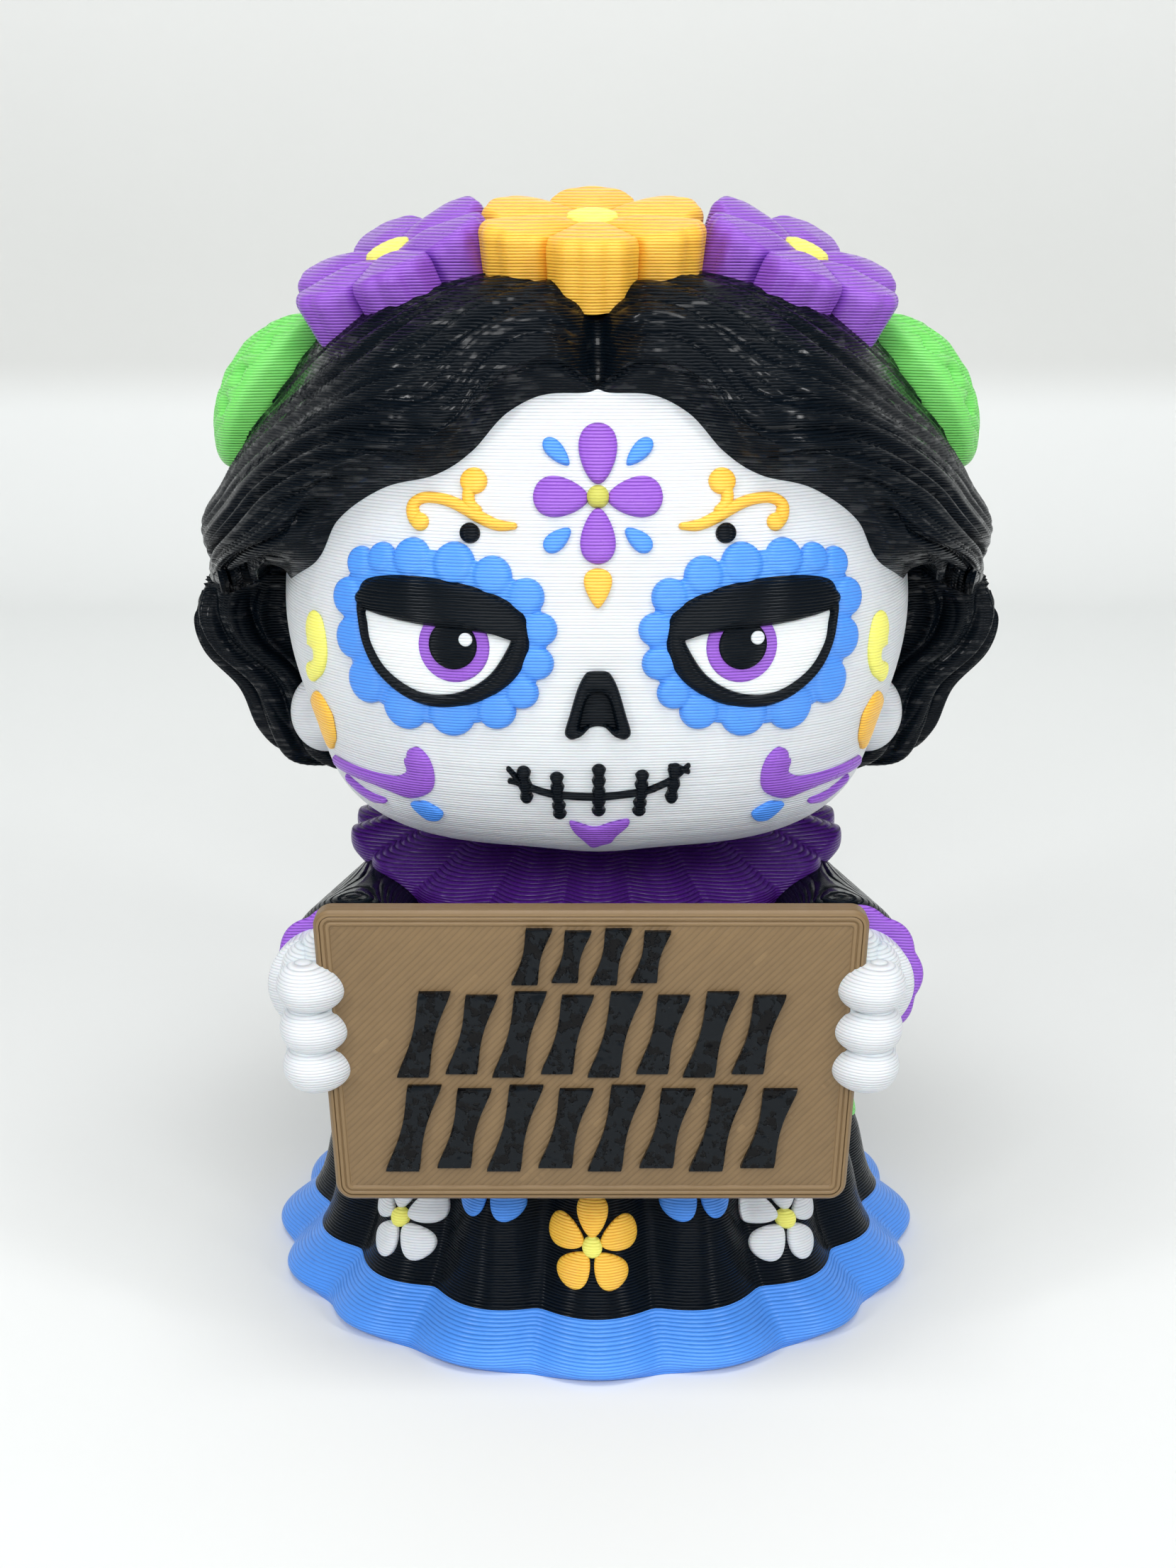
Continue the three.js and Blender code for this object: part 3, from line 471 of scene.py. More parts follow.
def layered_plastic(name, colour, shade, gloss, lean, crease, glow=0.0, flicker=0.5, ior=1.46,
                    sparkle=0.0):
    """Plastic laid in level layers: t = fract(z / layer) - 1/2 leans the normal by 2 lean t, so
    each layer is a small round bead; the crease between two layers, |2t|^5, is painted darker
    towards the shade colour, a painted shade for the shadow in it; each layer and each short
    stretch of it leans and shines a little differently and varies a little in tone, and where
    it sparkles some short stretches have a bright gloss over them."""
    f = Finish(name)
    drift = (f.noise(f.place, 90.0, 1.0) - 0.5) * 0.35
    height = f.z / LAYER + drift
    bead = height.part() - 0.5
    number = height.whole()
    stretch = f.noise(f.run(number * 0.37), 900.0, 3.0, 0.6)
    lean_here = bead * (2 * lean) + (f.chance(number) - 0.5) * 0.2 + (stretch - 0.5) * flicker
    normal = f.tilted(f.normal, UP, lean_here)
    groove = abs(bead * 2) ** 5
    cloud = f.noise(f.place, 160.0, 3.0)
    # painted shade: the crease mask pulls the colour towards the shade colour; the stretch and cloud
    # terms are random tone
    tone_and_painted_shading = groove * crease + (stretch - 0.5) * 0.35 + (cloud - 0.5) * 0.4
    rough = gloss + (stretch - 0.5) * 0.25 + groove * 0.12
    coat = {}
    if sparkle:
        dashes = f.noise(f.run(number * 0.53), 420.0, 2.0, 0.5)
        coat = {"Coat Weight": dashes.within(0.54, 0.66) * sparkle,
                "Coat Roughness": 0.16, "Coat IOR": 1.5}
    return f.surface(f.mix(tone_and_painted_shading.within(-0.3, 1.0), colour, shade), rough, normal,
                     **{"IOR": ior, "Subsurface Weight": glow, "Subsurface Scale": 1.2 * MM}, **coat)


def flat_printed_plastic(name, colour, shade, gloss):
    """Plastic printed face up: on the face, lines slant to the right, t = fract((x - z) /
    (sqrt 2 line)) - 1/2, up to the lines that run round its border; here and there along a
    line it is paler; round the edge the layers are stacked along y. The grooves between the
    lines and between the stacked layers are painted darker as shade, and the border and the
    edge are painted lighter, a painted light for the light their lines catch."""
    f = Finish(name)
    across = (f.x - f.z) / (math.sqrt(2) * LINE)
    weave = across + (f.noise(f.place, 120.0, 1.0) - 0.5) * 0.25
    bead = weave.part() - 0.5
    number = weave.whole()
    run = f.noise(f.triple((f.x + f.z) * MM, number * 0.31, 0.0), 260.0, 3.0, 0.6)
    face = abs(f.vector("DOT_PRODUCT", f.normal, BACK)).within(0.85, 0.97)
    lean_out = (SIGN_TOP_HALF - SIGN_BOTTOM_HALF) / (SIGN_TOP_Z - SIGN_BOTTOM_Z)
    half = (f.z - SIGN_BOTTOM_Z) * lean_out + SIGN_BOTTOM_HALF
    from_ends = (f.z - SIGN_BOTTOM_Z).math("MINIMUM", f.z * -1 + SIGN_TOP_Z)
    inwards = (half - abs(f.x - SIGN_X)).math("MINIMUM", from_ends)
    inside = inwards.within(SIGN_BORDER - 0.05, SIGN_BORDER + 0.05)
    tilt = (bead * 0.5 + (f.chance(number) - 0.5) * 0.14 + (run - 0.5) * 0.25) * face * inside
    normal = f.tilted(f.normal, (0.70711, 0.0, -0.70711), tilt)
    stack = (f.y / LAYER).part() - 0.5
    normal = f.tilted(normal, BACK, stack * -0.8 * (1 - face))
    groove = abs(bead * 2) ** 4 * face * inside + abs(stack * 2) ** 4 * (1 - face)
    cloud = f.noise(f.place, 75.0, 3.0)
    pale = f.chance(number + 7.3).within(0.86, 0.9) * run.within(0.58, 0.66) * face * inside
    # painted shading: grooves painted dark as shade, border and edge painted lighter as light; run,
    # cloud and pale vary the tone
    tone_and_painted_shading = (groove * 0.45 + (run - 0.5) * 0.6 * face + (cloud - 0.5) * 0.5
            - (1 - inside) * 0.35 - pale * 0.9)
    rough = gloss + (run - 0.5) * 0.3
    return f.surface(f.mix(tone_and_painted_shading.within(-0.5, 1.0), colour, shade), rough, normal, IOR=1.46)


def pitted_plastic(name, colour, shade, gloss):
    """Raised strokes printed face up in short, uneven passes: small pits where two passes
    fail to meet, painted in the shade colour as a painted shade in them, and a slow change of gloss."""
    f = Finish(name)
    pits = f.noise(f.place, 1150.0, 3.0, 0.6).within(0.41, 0.5)
    lump = f.noise(f.place, 520.0, 2.0, 0.5)
    height = pits * 0.6 + lump
    bump = f.add("ShaderNodeBump", {}, {"Strength": 1.0, "Distance": 0.5 * MM, "Height": height})
    rough = gloss + (lump - 0.5) * 0.4
    # the pits take the shade colour: painted shade in them
    return f.surface(f.mix(pits, shade, colour), rough, bump, IOR=1.27)


# Each finish: colour, the colour painted in as shade in creases, grooves or pits (and at random as
# darker tone), roughness, and for layers how far a bead leans the light, how dark its crease shade is
# painted and how much light passes into it.
DEEP_BLACK, BLACK_CREASE_SHADE = rgba(0.0026, 0.0052, 0.0088), rgba(0.0006, 0.0012, 0.002)

black = layered_plastic("black_layers", DEEP_BLACK, BLACK_CREASE_SHADE, 0.17, 0.9, 0.9, flicker=1.1, ior=1.2)
hair_black = layered_plastic("hair_layers", DEEP_BLACK, BLACK_CREASE_SHADE, 0.17, 0.95, 0.9, flicker=1.6,
                             ior=1.18, sparkle=0.5)
white = layered_plastic("white_layers", rgba(0.735, 0.76, 0.785), rgba(0.46, 0.495, 0.54),
                        0.42, 0.6, 0.65, 0.15)
# The eye whites are the face's white plastic given a brighter colour: painted light for the extra
# light they catch.
eye_white = layered_plastic("eye_white_layers", rgba(0.85, 0.875, 0.885), rgba(0.56, 0.59, 0.63),
                            0.4, 0.5, 0.5, 0.15)
purple = layered_plastic("purple_layers", rgba(0.33, 0.115, 0.66), rgba(0.15, 0.035, 0.38),
                         0.3, 0.95, 1.0)
deep_purple = layered_plastic("collar_layers", rgba(0.07, 0.011, 0.2), rgba(0.02, 0.003, 0.07),
                              0.28, 0.7, 0.9, ior=1.34)
blue = layered_plastic("blue_layers", rgba(0.08, 0.315, 0.94), rgba(0.04, 0.2, 0.7), 0.32, 0.8, 0.9)
orange = layered_plastic("orange_layers", rgba(1.0, 0.6, 0.075), rgba(0.88, 0.34, 0.02),
                         0.34, 0.85, 0.9, 0.12)
yellow = layered_plastic("yellow_layers", rgba(0.95, 0.93, 0.2), rgba(0.75, 0.67, 0.06),
                         0.42, 0.6, 0.5, 0.1)
olive = layered_plastic("olive_layers", rgba(0.58, 0.58, 0.1), rgba(0.38, 0.34, 0.05), 0.42, 0.5, 0.5)
green = layered_plastic("green_layers", rgba(0.23, 0.8, 0.17), rgba(0.1, 0.5, 0.075),
                        0.3, 0.85, 0.9, 0.1)
brown = flat_printed_plastic("brown_lines", rgba(0.212, 0.137, 0.063), rgba(0.12, 0.074, 0.033), 0.42)
charcoal = pitted_plastic("charcoal_passes", rgba(0.0042, 0.0062, 0.0085), rgba(0.001, 0.001, 0.0015),
                          0.2)


# ---------------------------------------------------------------- head and face

def head_radius(azimuth, elevation):
    """Distance from the head's centre to its skin: a superellipse in plan, one more up and
    down, with a swell at the chin and hollows at the sides and under the jaw."""
    a, e = np.radians(azimuth), np.radians(elevation)
    across, ahead, up = np.sin(a) * np.cos(e), np.cos(a) * np.cos(e), np.sin(e)
    depth = np.where(ahead > 0, HEAD_FRONT, HEAD_BACK)
    height = np.where(up > 0, HEAD_UP, HEAD_DOWN)
    power = np.where(up > 0, 2.3, 2.5)
    plan = np.abs(across / HEAD_SIDE) ** 2.6 + np.abs(ahead / depth) ** 2.6
    base = (plan ** (power / 2.6) + np.abs(up / height) ** power) ** (-1 / power)
    chin = 0.64 * np.exp(-((azimuth / 15) ** 2 + ((elevation + 45) / 14) ** 2))
    sides = 1.9 * np.exp(-(((np.abs(azimuth) - 85) / 40) ** 2 + ((elevation + 13.7) / 13) ** 2))
    jaw = 2.2 * np.exp(-(((elevation + 58) / 17) ** 2))
    return base + chin - sides - jaw


def on_head(azimuth, elevation, lift=0.0):
    """The point above the head's skin in a direction: centre + (radius + lift) * direction."""
    r = head_radius(azimuth, elevation) + lift
    a, e = np.radians(azimuth), np.radians(elevation)
    way = np.stack([np.sin(a) * np.cos(e), -np.cos(a) * np.cos(e), np.sin(e)], -1)
    return HEAD_CENTRE + r[..., None] * way


def head_normal(azimuth, elevation):
    """The skin's normal in a direction: a step east across a step north, a degree each."""
    east = on_head(azimuth + 0.5, elevation) - on_head(azimuth - 0.5, elevation)
    north = on_head(azimuth, elevation + 0.5) - on_head(azimuth, elevation - 0.5)
    return unit(np.cross(east, north))


def head():
    """The skin in every direction, a point every 1.4 by 1.2 degrees."""
    azimuth = np.linspace(-180, 180, 260, endpoint=False)[None, :]
    elevation = np.linspace(90, -90, 150)[:, None]
    azimuth, elevation = np.broadcast_arrays(azimuth, elevation)
    return skin(on_head(azimuth, elevation))


def ear(side):
    """An ellipsoid with a hollow pressed into its front: out by its half sizes times
    1 - 0.3 exp(-d^2 / 0.12), d from the hollow's direction."""
    turn = np.linspace(0, TURN, 40, endpoint=False)[None, :]
    fall = np.linspace(0, np.pi, 26)[:, None]
    way = np.stack(np.broadcast_arrays(np.sin(fall) * np.cos(turn), np.sin(fall) * np.sin(turn),
                                       np.cos(fall)), -1)
    hollow = 0.3 * np.exp(-(((way - unit(EAR_HOLLOW)) ** 2).sum(-1) / 0.12))
    p = EAR_CENTRE + way * EAR_HALF * (1 - hollow[..., None])
    return skin(p * [side, 1, 1])


def raised(outline, place, height, wall=0.2, crown=3.0, sunk=0.35, rows=9, middle=None):
    """A raised patch: the point a fraction k of the way from its middle to its outline stands
    wall + height (1 - k^crown)^(1/crown) above what carries it; its side goes straight down,
    to sunk below that."""
    middle = outline.mean(0) if middle is None else np.array(middle, float)
    k = np.sin(np.linspace(0, np.pi / 2, rows))[:, None]
    lift = wall + height * (1 - k**crown) ** (1 / crown)
    k = np.vstack([k, [[1]], [[1]], [[0]]])
    lift = np.vstack([lift, [[wall * 0.5]], [[-sunk]], [[-sunk]]])
    flat = middle + k[..., None] * (outline - middle)
    return skin(place(flat[..., 0], flat[..., 1], lift + 0 * flat[..., 0]))


def face_patch(points, height, side=1, columns=64, **shape):
    """A raised patch on the face from a few points of its outline."""
    outline = round_through(points, columns)
    return raised(outline * [side, 1], on_head, height, **shape)


def spot(azimuth, elevation, radius, columns=40):
    """A round outline on the face, its radius in degrees of elevation."""
    t = np.linspace(0, TURN, columns, endpoint=False)
    wide = radius / math.cos(math.radians(elevation))
    return np.stack([azimuth + wide * np.cos(t), elevation + radius * np.sin(t)], -1)


def petal_outline(azimuth, elevation, pointing, length, width, swell=0.3, columns=48):
    """A drop outline: length/2 cos t along, width/2 sin t (1 + swell cos t) across."""
    t = np.linspace(0, TURN, columns, endpoint=False)
    along, across = length / 2 * np.cos(t), width / 2 * np.sin(t) * (1 + swell * np.cos(t))
    c, s = math.cos(math.radians(pointing)), math.sin(math.radians(pointing))
    wide = 1 / math.cos(math.radians(elevation))
    return np.stack([azimuth + (along * c - across * s) * wide,
                     elevation + along * s + across * c], -1)


def face_stroke(points, widths, height, side=1, rows=60, columns=14, sunk=0.4):
    """A raised stroke: the line through the points, a flat oval across it, half width cos t by
    height |sin t|^0.8 above the skin and sunk |sin t|^0.8 below it, drawn in to round ends."""
    path = line_through(points, rows) * [side, 1]
    p, out = on_head(path[:, 0], path[:, 1]), head_normal(path[:, 0], path[:, 1])
    along = unit(np.gradient(p, axis=0))
    across = unit(np.cross(along, out))
    run = np.concatenate([[0], np.cumsum(np.linalg.norm(np.diff(p, axis=0), axis=1))])
    share = run / run[-1]
    half = np.interp(share, np.linspace(0, 1, len(widths)), widths) / 2
    end = np.clip(np.minimum(run, run[-1] - run) / half, 0, 1)
    half = half * np.sqrt(1 - (1 - end) ** 2)
    t = np.linspace(0, TURN, columns, endpoint=False)
    rise = np.where(np.sin(t) > 0, height, sunk) * np.abs(np.sin(t)) ** 0.8 * np.sign(np.sin(t))
    lift = rise[None, :] * np.sqrt(1 - (1 - end) ** 2)[:, None]
    return skin(p[:, None] + across[:, None] * (half[:, None] * np.cos(t))[..., None]
                + out[:, None] * lift[..., None])


def face_dots(away, up, radius, height, **shape):
    """Two round patches, one on each side."""
    return [raised(spot(s * away, up, radius), on_head, height, **shape) for s in SIDES]


def face_strokes(points, widths, height, rows):
    """The same stroke on both sides."""
    return [face_stroke(points, widths, height, s, rows) for s in SIDES]


def eye_ring(side):
    """The scalloped ring: its edge is the union of round lobes seen from the eye's middle,
    reach = max(d cos q + sqrt(r^2 - d^2 sin^2 q)), and of a plate that ends 0.36 r beyond their
    middles; each lobe is a flat dome, 0.5 (1 - (away / r)^5)^0.5, on a plate half as high, and
    both begin outside the white of the eye."""
    lobes = (np.array(EYE_LOBES) - EYE_MIDDLE) * [1.01, 0.96]
    beside = (np.linalg.norm(lobes - np.roll(lobes, 1, 0), axis=1)
              + np.linalg.norm(lobes - np.roll(lobes, -1, 0), axis=1)) / 2
    r = 0.49 * beside
    d, aim = np.hypot(*lobes.T), np.arctan2(lobes[:, 1], lobes[:, 0])
    turn = np.linspace(0, TURN, 360, endpoint=False)
    q = turn[:, None] - aim
    inside = r**2 - (d * np.sin(q)) ** 2
    far = np.where((inside > 0) & (np.cos(q) > 0), d * np.cos(q) + np.sqrt(np.maximum(inside, 0)), 0)
    order = np.argsort(aim % TURN)
    lobe_line = np.interp(turn, (aim % TURN)[order], d[order], period=TURN)
    plate_line = lobe_line + 0.36 * np.interp(turn, (aim % TURN)[order], r[order], period=TURN)
    reach = np.maximum(far.max(1), plate_line)
    k = np.concatenate([[0, 0.15], np.linspace(0.3, 1, 34)])[:, None]
    flat = (k * reach)[..., None] * np.stack([np.cos(turn), np.sin(turn)], -1)
    away = np.linalg.norm(flat[:, :, None] - lobes, axis=-1) / r
    dome = np.sqrt(np.maximum(0, 1 - away**5)).max(-1)
    way_out = k * reach / plate_line
    beyond = smoothstep(k * reach / reach_about(EYE_WHITE, EYE_MIDDLE, turn), 1.05, 1.2)
    plate = 0.5 * (1 - smoothstep(way_out, 0.93, 1.0))
    lift = 0.18 + 0.5 * beyond * np.maximum(dome, plate)
    flat = np.concatenate([flat, flat[-1:], flat[-1:], 0 * flat[-1:]]) + EYE_MIDDLE
    lift = np.concatenate([lift, lift[-1:] * 0.3, lift[-1:] * 0 - 0.4, lift[-1:] * 0 - 1.6])
    return skin(on_head(flat[..., 0] * side, flat[..., 1], lift))


def eye_rim(side):
    """The black band between the white and the ring: across it k goes from the inner outline
    to the outer one, and it stands 0.5 + 0.42 sin(pi k)^0.6 above the skin."""
    turn = np.linspace(0, TURN, 240, endpoint=False)
    inner, outer = (reach_about(points, EYE_MIDDLE, turn) for points in (EYE_WHITE, EYE_RIM))
    k = np.linspace(0, 1, 15)
    lift = 0.5 + 0.42 * np.sin(np.pi * k) ** 0.6
    k = np.concatenate([k, [1, 0.5, 0]])[:, None]
    lift = np.concatenate([lift, [-0.3, -0.3, -0.3]])[:, None]
    r = inner + (outer - inner) * k
    return hoop(on_head((EYE_MIDDLE[0] + r * np.cos(turn)) * side, EYE_MIDDLE[1] + r * np.sin(turn),
                        lift + 0 * r))


def nose():
    """The band between the nose's outline and the hollow in it, 0.4 + 0.36 sin(pi k)^0.5 above
    the skin and a fifth of that where the hollow opens at the bottom, and the hollow's floor."""
    turn = np.linspace(0, TURN, 160, endpoint=False)
    hollow = mirrored(NOSTRIL)
    inner, outer = (reach_about(points, NOSE_MIDDLE, turn) for points in (hollow, mirrored(NOSE)))
    k = np.linspace(0, 1, 12)
    opening = smoothstep(-np.sin(turn), 0.8, 0.95)
    lift = (0.4 + 0.36 * np.sin(np.pi * k) ** 0.5)[:, None] * (1 - 0.8 * opening)
    k = np.concatenate([k, [1, 0]])[:, None]
    lift = np.concatenate([lift, 0 * lift[:2] - 0.3])
    r = inner + (outer - inner) * k
    band = hoop(on_head(NOSE_MIDDLE[0] + r * np.cos(turn), NOSE_MIDDLE[1] + r * np.sin(turn), lift))
    return [band, face_patch(hollow, 0.05, wall=0.1)]


piece("head", [head(), ear(-1), ear(1)], white)
piece("eye_rings", [eye_ring(s) for s in SIDES], blue)
piece("eye_rims", [eye_rim(s) for s in SIDES]
      + [face_patch(EYE_LID, 0.75, s, 120, wall=0.5, crown=2.4, rows=12) for s in SIDES],
      black)
piece("eye_whites", [face_patch(EYE_WHITE, 0.06, s, 90, wall=0.36) for s in SIDES],
      eye_white)
piece("irises", face_dots(IRIS[0], IRIS[1], 5.75, 0.12, wall=0.45, crown=6), purple)
piece("pupils", face_dots(IRIS[0], IRIS[1] + 0.2, 3.85, 0.12, wall=0.62, crown=5),
      black)
piece("eye_lights", [raised(spot(away, 8.1, 1.05), on_head, 0.14, wall=0.8, crown=3)
                     for away in (-21.2, 25.6)], white)
piece("nose", nose(), black)
piece("mouth", [face_stroke(MOUTH, [0.35, 0.55, 0.6, 0.62, 0.6, 0.55, 0.35], 0.45, rows=120)]
      + [face_stroke(fork, [0.35, 0.6, 0.5], 0.4, rows=30) for fork in MOUTH_FORKS]
      + [face_stroke([(away, top), (away, bottom)], beads, 0.62, rows=70)
         for away, top, bottom, beads in STITCHES],
      black)
piece("brow_dots", face_dots(22.2, 24.6, 1.55, 0.35, crown=2.2), black)
piece("chin_heart", [face_patch(CHIN_HEART, 0.22, wall=0.15)], purple)
piece("forehead_petals", [raised(petal_outline(*petal), on_head, 0.45, crown=2.4)
                          for petal in FOREHEAD_PETALS], purple)
piece("forehead_button", [raised(spot(*FOREHEAD_FLOWER, 1.75), on_head, 0.6, wall=0.3, crown=2)],
      olive)
piece("blue_drops",
      [raised(petal_outline(s * 8.2, 38.7, 90 - s * 45, 5.6, 2.6), on_head, 0.3) for s in SIDES]
      + [raised(petal_outline(s * 7, 24.6, -90 + s * 48, 5.2, 2.8), on_head, 0.3) for s in SIDES]
      + [face_patch(CHEEK_DROP, 0.22, s) for s in SIDES], blue)
piece("orange_relief", [raised(petal_outline(0, 17, 90, 6.4, 4.2, 0.5), on_head, 0.35)]
      + face_strokes(BROW_SCROLL, [1.3, 1.1, 0.9, 0.88, 0.92, 0.95, 1.0, 0.95, 0.85, 0.5], 0.5, 110)
      + face_strokes(BROW_CURL, [1.2, 1.0, 0.95, 0.9, 0.8], 0.5, 50)
      + face_dots(23, 32.7, 2.05, 0.45, wall=0.2, crown=2.2)
      + face_dots(31.3, 25.4, 1.35, 0.35, wall=0.2, crown=2.2)
      + face_strokes(CHEEK_FLAME, [2.8, 4.4, 3.8, 2.6, 0.8], 0.45, 50), orange)
piece("temple_commas", face_strokes(TEMPLE_COMMA, [3.2, 3.6, 2.2, 1.6, 1.5, 1.9], 0.45, 60),
      yellow)
piece("cheek_scrolls",
      face_strokes(CHEEK_SCROLL, [1.1, 1.25, 1.3, 1.3, 1.35, 1.7, 2.3, 2.5, 2.5, 2.4], 0.45, 120)
      + face_strokes(CHEEK_BLADE, [1.0, 1.3, 1.2, 0.5], 0.4, 50), purple)


# ---------------------------------------------------------------- hair

def hair_section(angle):
    """The hair's section at an angle from the parting, seen from the front: where its outline,
    the ridge of its roll and the hairline lie, each as (radius, y, angle)."""
    outer_r = smooth(OUTLINE_ANGLE, OUTLINE_RADIUS, angle)
    outer_y = HAIR_WIDEST_Y + HAIR_SET_BACK * (1 - smoothstep(angle, 55, 85))
    a = np.minimum(angle, SWOOP_END)
    azimuth, elevation = (smooth(HAIRLINE_ANGLE, values, a)
                          for values in (HAIRLINE_AZIMUTH, HAIRLINE_ELEVATION))
    parting = np.exp(-((angle / 7) ** 2))
    line = on_head(azimuth, elevation, 0 * a - 0.3)
    ridge = on_head(azimuth, elevation + HAIR_ROLL_RISE, HAIR_ROLL * (1 - 0.8 * parting))

    def seen(p):
        """A point as (radius, y, angle) about the hair's middle line."""
        flat = np.hypot(p[:, 0], p[:, 2] - HAIR_CENTRE_Z)
        return flat, p[:, 1], np.degrees(np.arctan2(np.abs(p[:, 0]), p[:, 2] - HAIR_CENTRE_Z))

    return (outer_r, outer_y, angle), seen(ridge), seen(line)


def fullness(angle, ahead):
    """(1 - ahead^n)^m: a rounded slope at the sides, n 2 and m 0.575, and a steep front over
    the forehead, n 9 and m 1."""
    steep = 1 - smoothstep(angle, 20, 65)
    return np.maximum(0, 1 - ahead ** (2 + 7 * steep)) ** (0.575 + 0.425 * steep)


def hair_grid(columns=640, back=80, front=120, roll=22):
    """The hood in sections: from the back of the head to the outline, a superellipse; on to the
    ridge of the roll, r = ridge + (outer - ridge) fullness, y by sin t; and round the roll to
    the hairline, a quadratic. The sections lie closer at the parting and at the sides: their
    angle is u - 9 sin 4u. Where the swoop ends the ridge and the line step back to the bob's, a
    little sooner or later by tips, which has four or five small locks, 0.25 |sin| deep, and bows
    by -3.6 sin(pi k^1.5) on the way from the outline to the ridge."""
    even = np.linspace(-180, 180, columns, endpoint=False)
    turn = even - 9 * np.sin(4 * np.radians(even))
    angle, side = np.abs(turn), np.where(turn < 0, -1, 1)
    outer, ridge, line = hair_section(angle)
    outer_r, outer_y = outer[:2]
    k = np.linspace(0, 1, front + 1)[1:, None]
    tips = (0.25 * (1 - np.abs(np.sin(np.pi * 4.5 * (1 - k)))) + 1.5 * (1 - k)
            - 3.6 * np.sin(np.pi * k**1.5))

    def stepped(point, bob_r, bob_y, tip):
        """The swoop's point, turning into the bob's just past the swoop's end."""
        swoop = 1 - smoothstep(angle + tip, SWOOP_END, BOB_START)
        return tuple(b + (p - b) * swoop for p, b in zip(point, (bob_r, bob_y, angle)))

    ridge_r, ridge_y, ridge_turn = stepped(ridge, outer_r * BOB_RIDGE, BOB_RIDGE_Y, tips)
    t = np.linspace(0, np.pi / 2, back)[:, None]
    back_r = outer_r * np.sin(t) ** 0.8
    back_y = outer_y + (HAIR_BACK_Y - outer_y) * np.cos(t) ** 0.8
    ahead = np.sin(np.pi / 2 * k)
    valley = (PARTING_DEPTH * np.exp(-((angle / 4) ** 2))
              * smoothstep(k, 0.2, 0.6) * (1 - smoothstep(k, 0.75, 1)))
    front_r = ridge_r + (outer_r - ridge_r) * fullness(angle, ahead) - valley
    front_y = outer_y + (ridge_y - outer_y) * ahead
    front_turn = angle + (ridge_turn - angle) * k**2
    ridge_r, ridge_y, ridge_turn = (v[-1:] for v in (ridge_r, ridge_y, ridge_turn))
    line_r, line_y, line_turn = stepped(line, outer_r * BOB_LINE, BOB_LINE_Y, tips[-1:])
    j = np.linspace(0, 1, roll + 1)[1:, None]
    bulge_r, bulge_y = ridge_r + (line_r - ridge_r) * 0.5, ridge_y + (line_y - ridge_y) * 0.3
    roll_r = (1 - j) ** 2 * ridge_r + 2 * j * (1 - j) * bulge_r + j**2 * line_r
    roll_y = (1 - j) ** 2 * ridge_y + 2 * j * (1 - j) * bulge_y + j**2 * line_y
    roll_turn = ridge_turn + (line_turn - ridge_turn) * j
    r = np.vstack([back_r, front_r, roll_r])
    y = np.vstack([back_y, front_y, roll_y])
    a = np.radians(np.vstack([angle + 0 * back_r, front_turn, roll_turn]))
    p = np.stack([side * r * np.sin(a), y, HAIR_CENTRE_Z + r * np.cos(a)], -1)
    ends = angle + np.vstack([1.5 + 0 * t, tips, tips[-1:] + 0 * j])
    return p - outward(p, HAIR_INSIDE) * hair_locks(p, angle, ends, t, k, j, outer_y)[..., None]


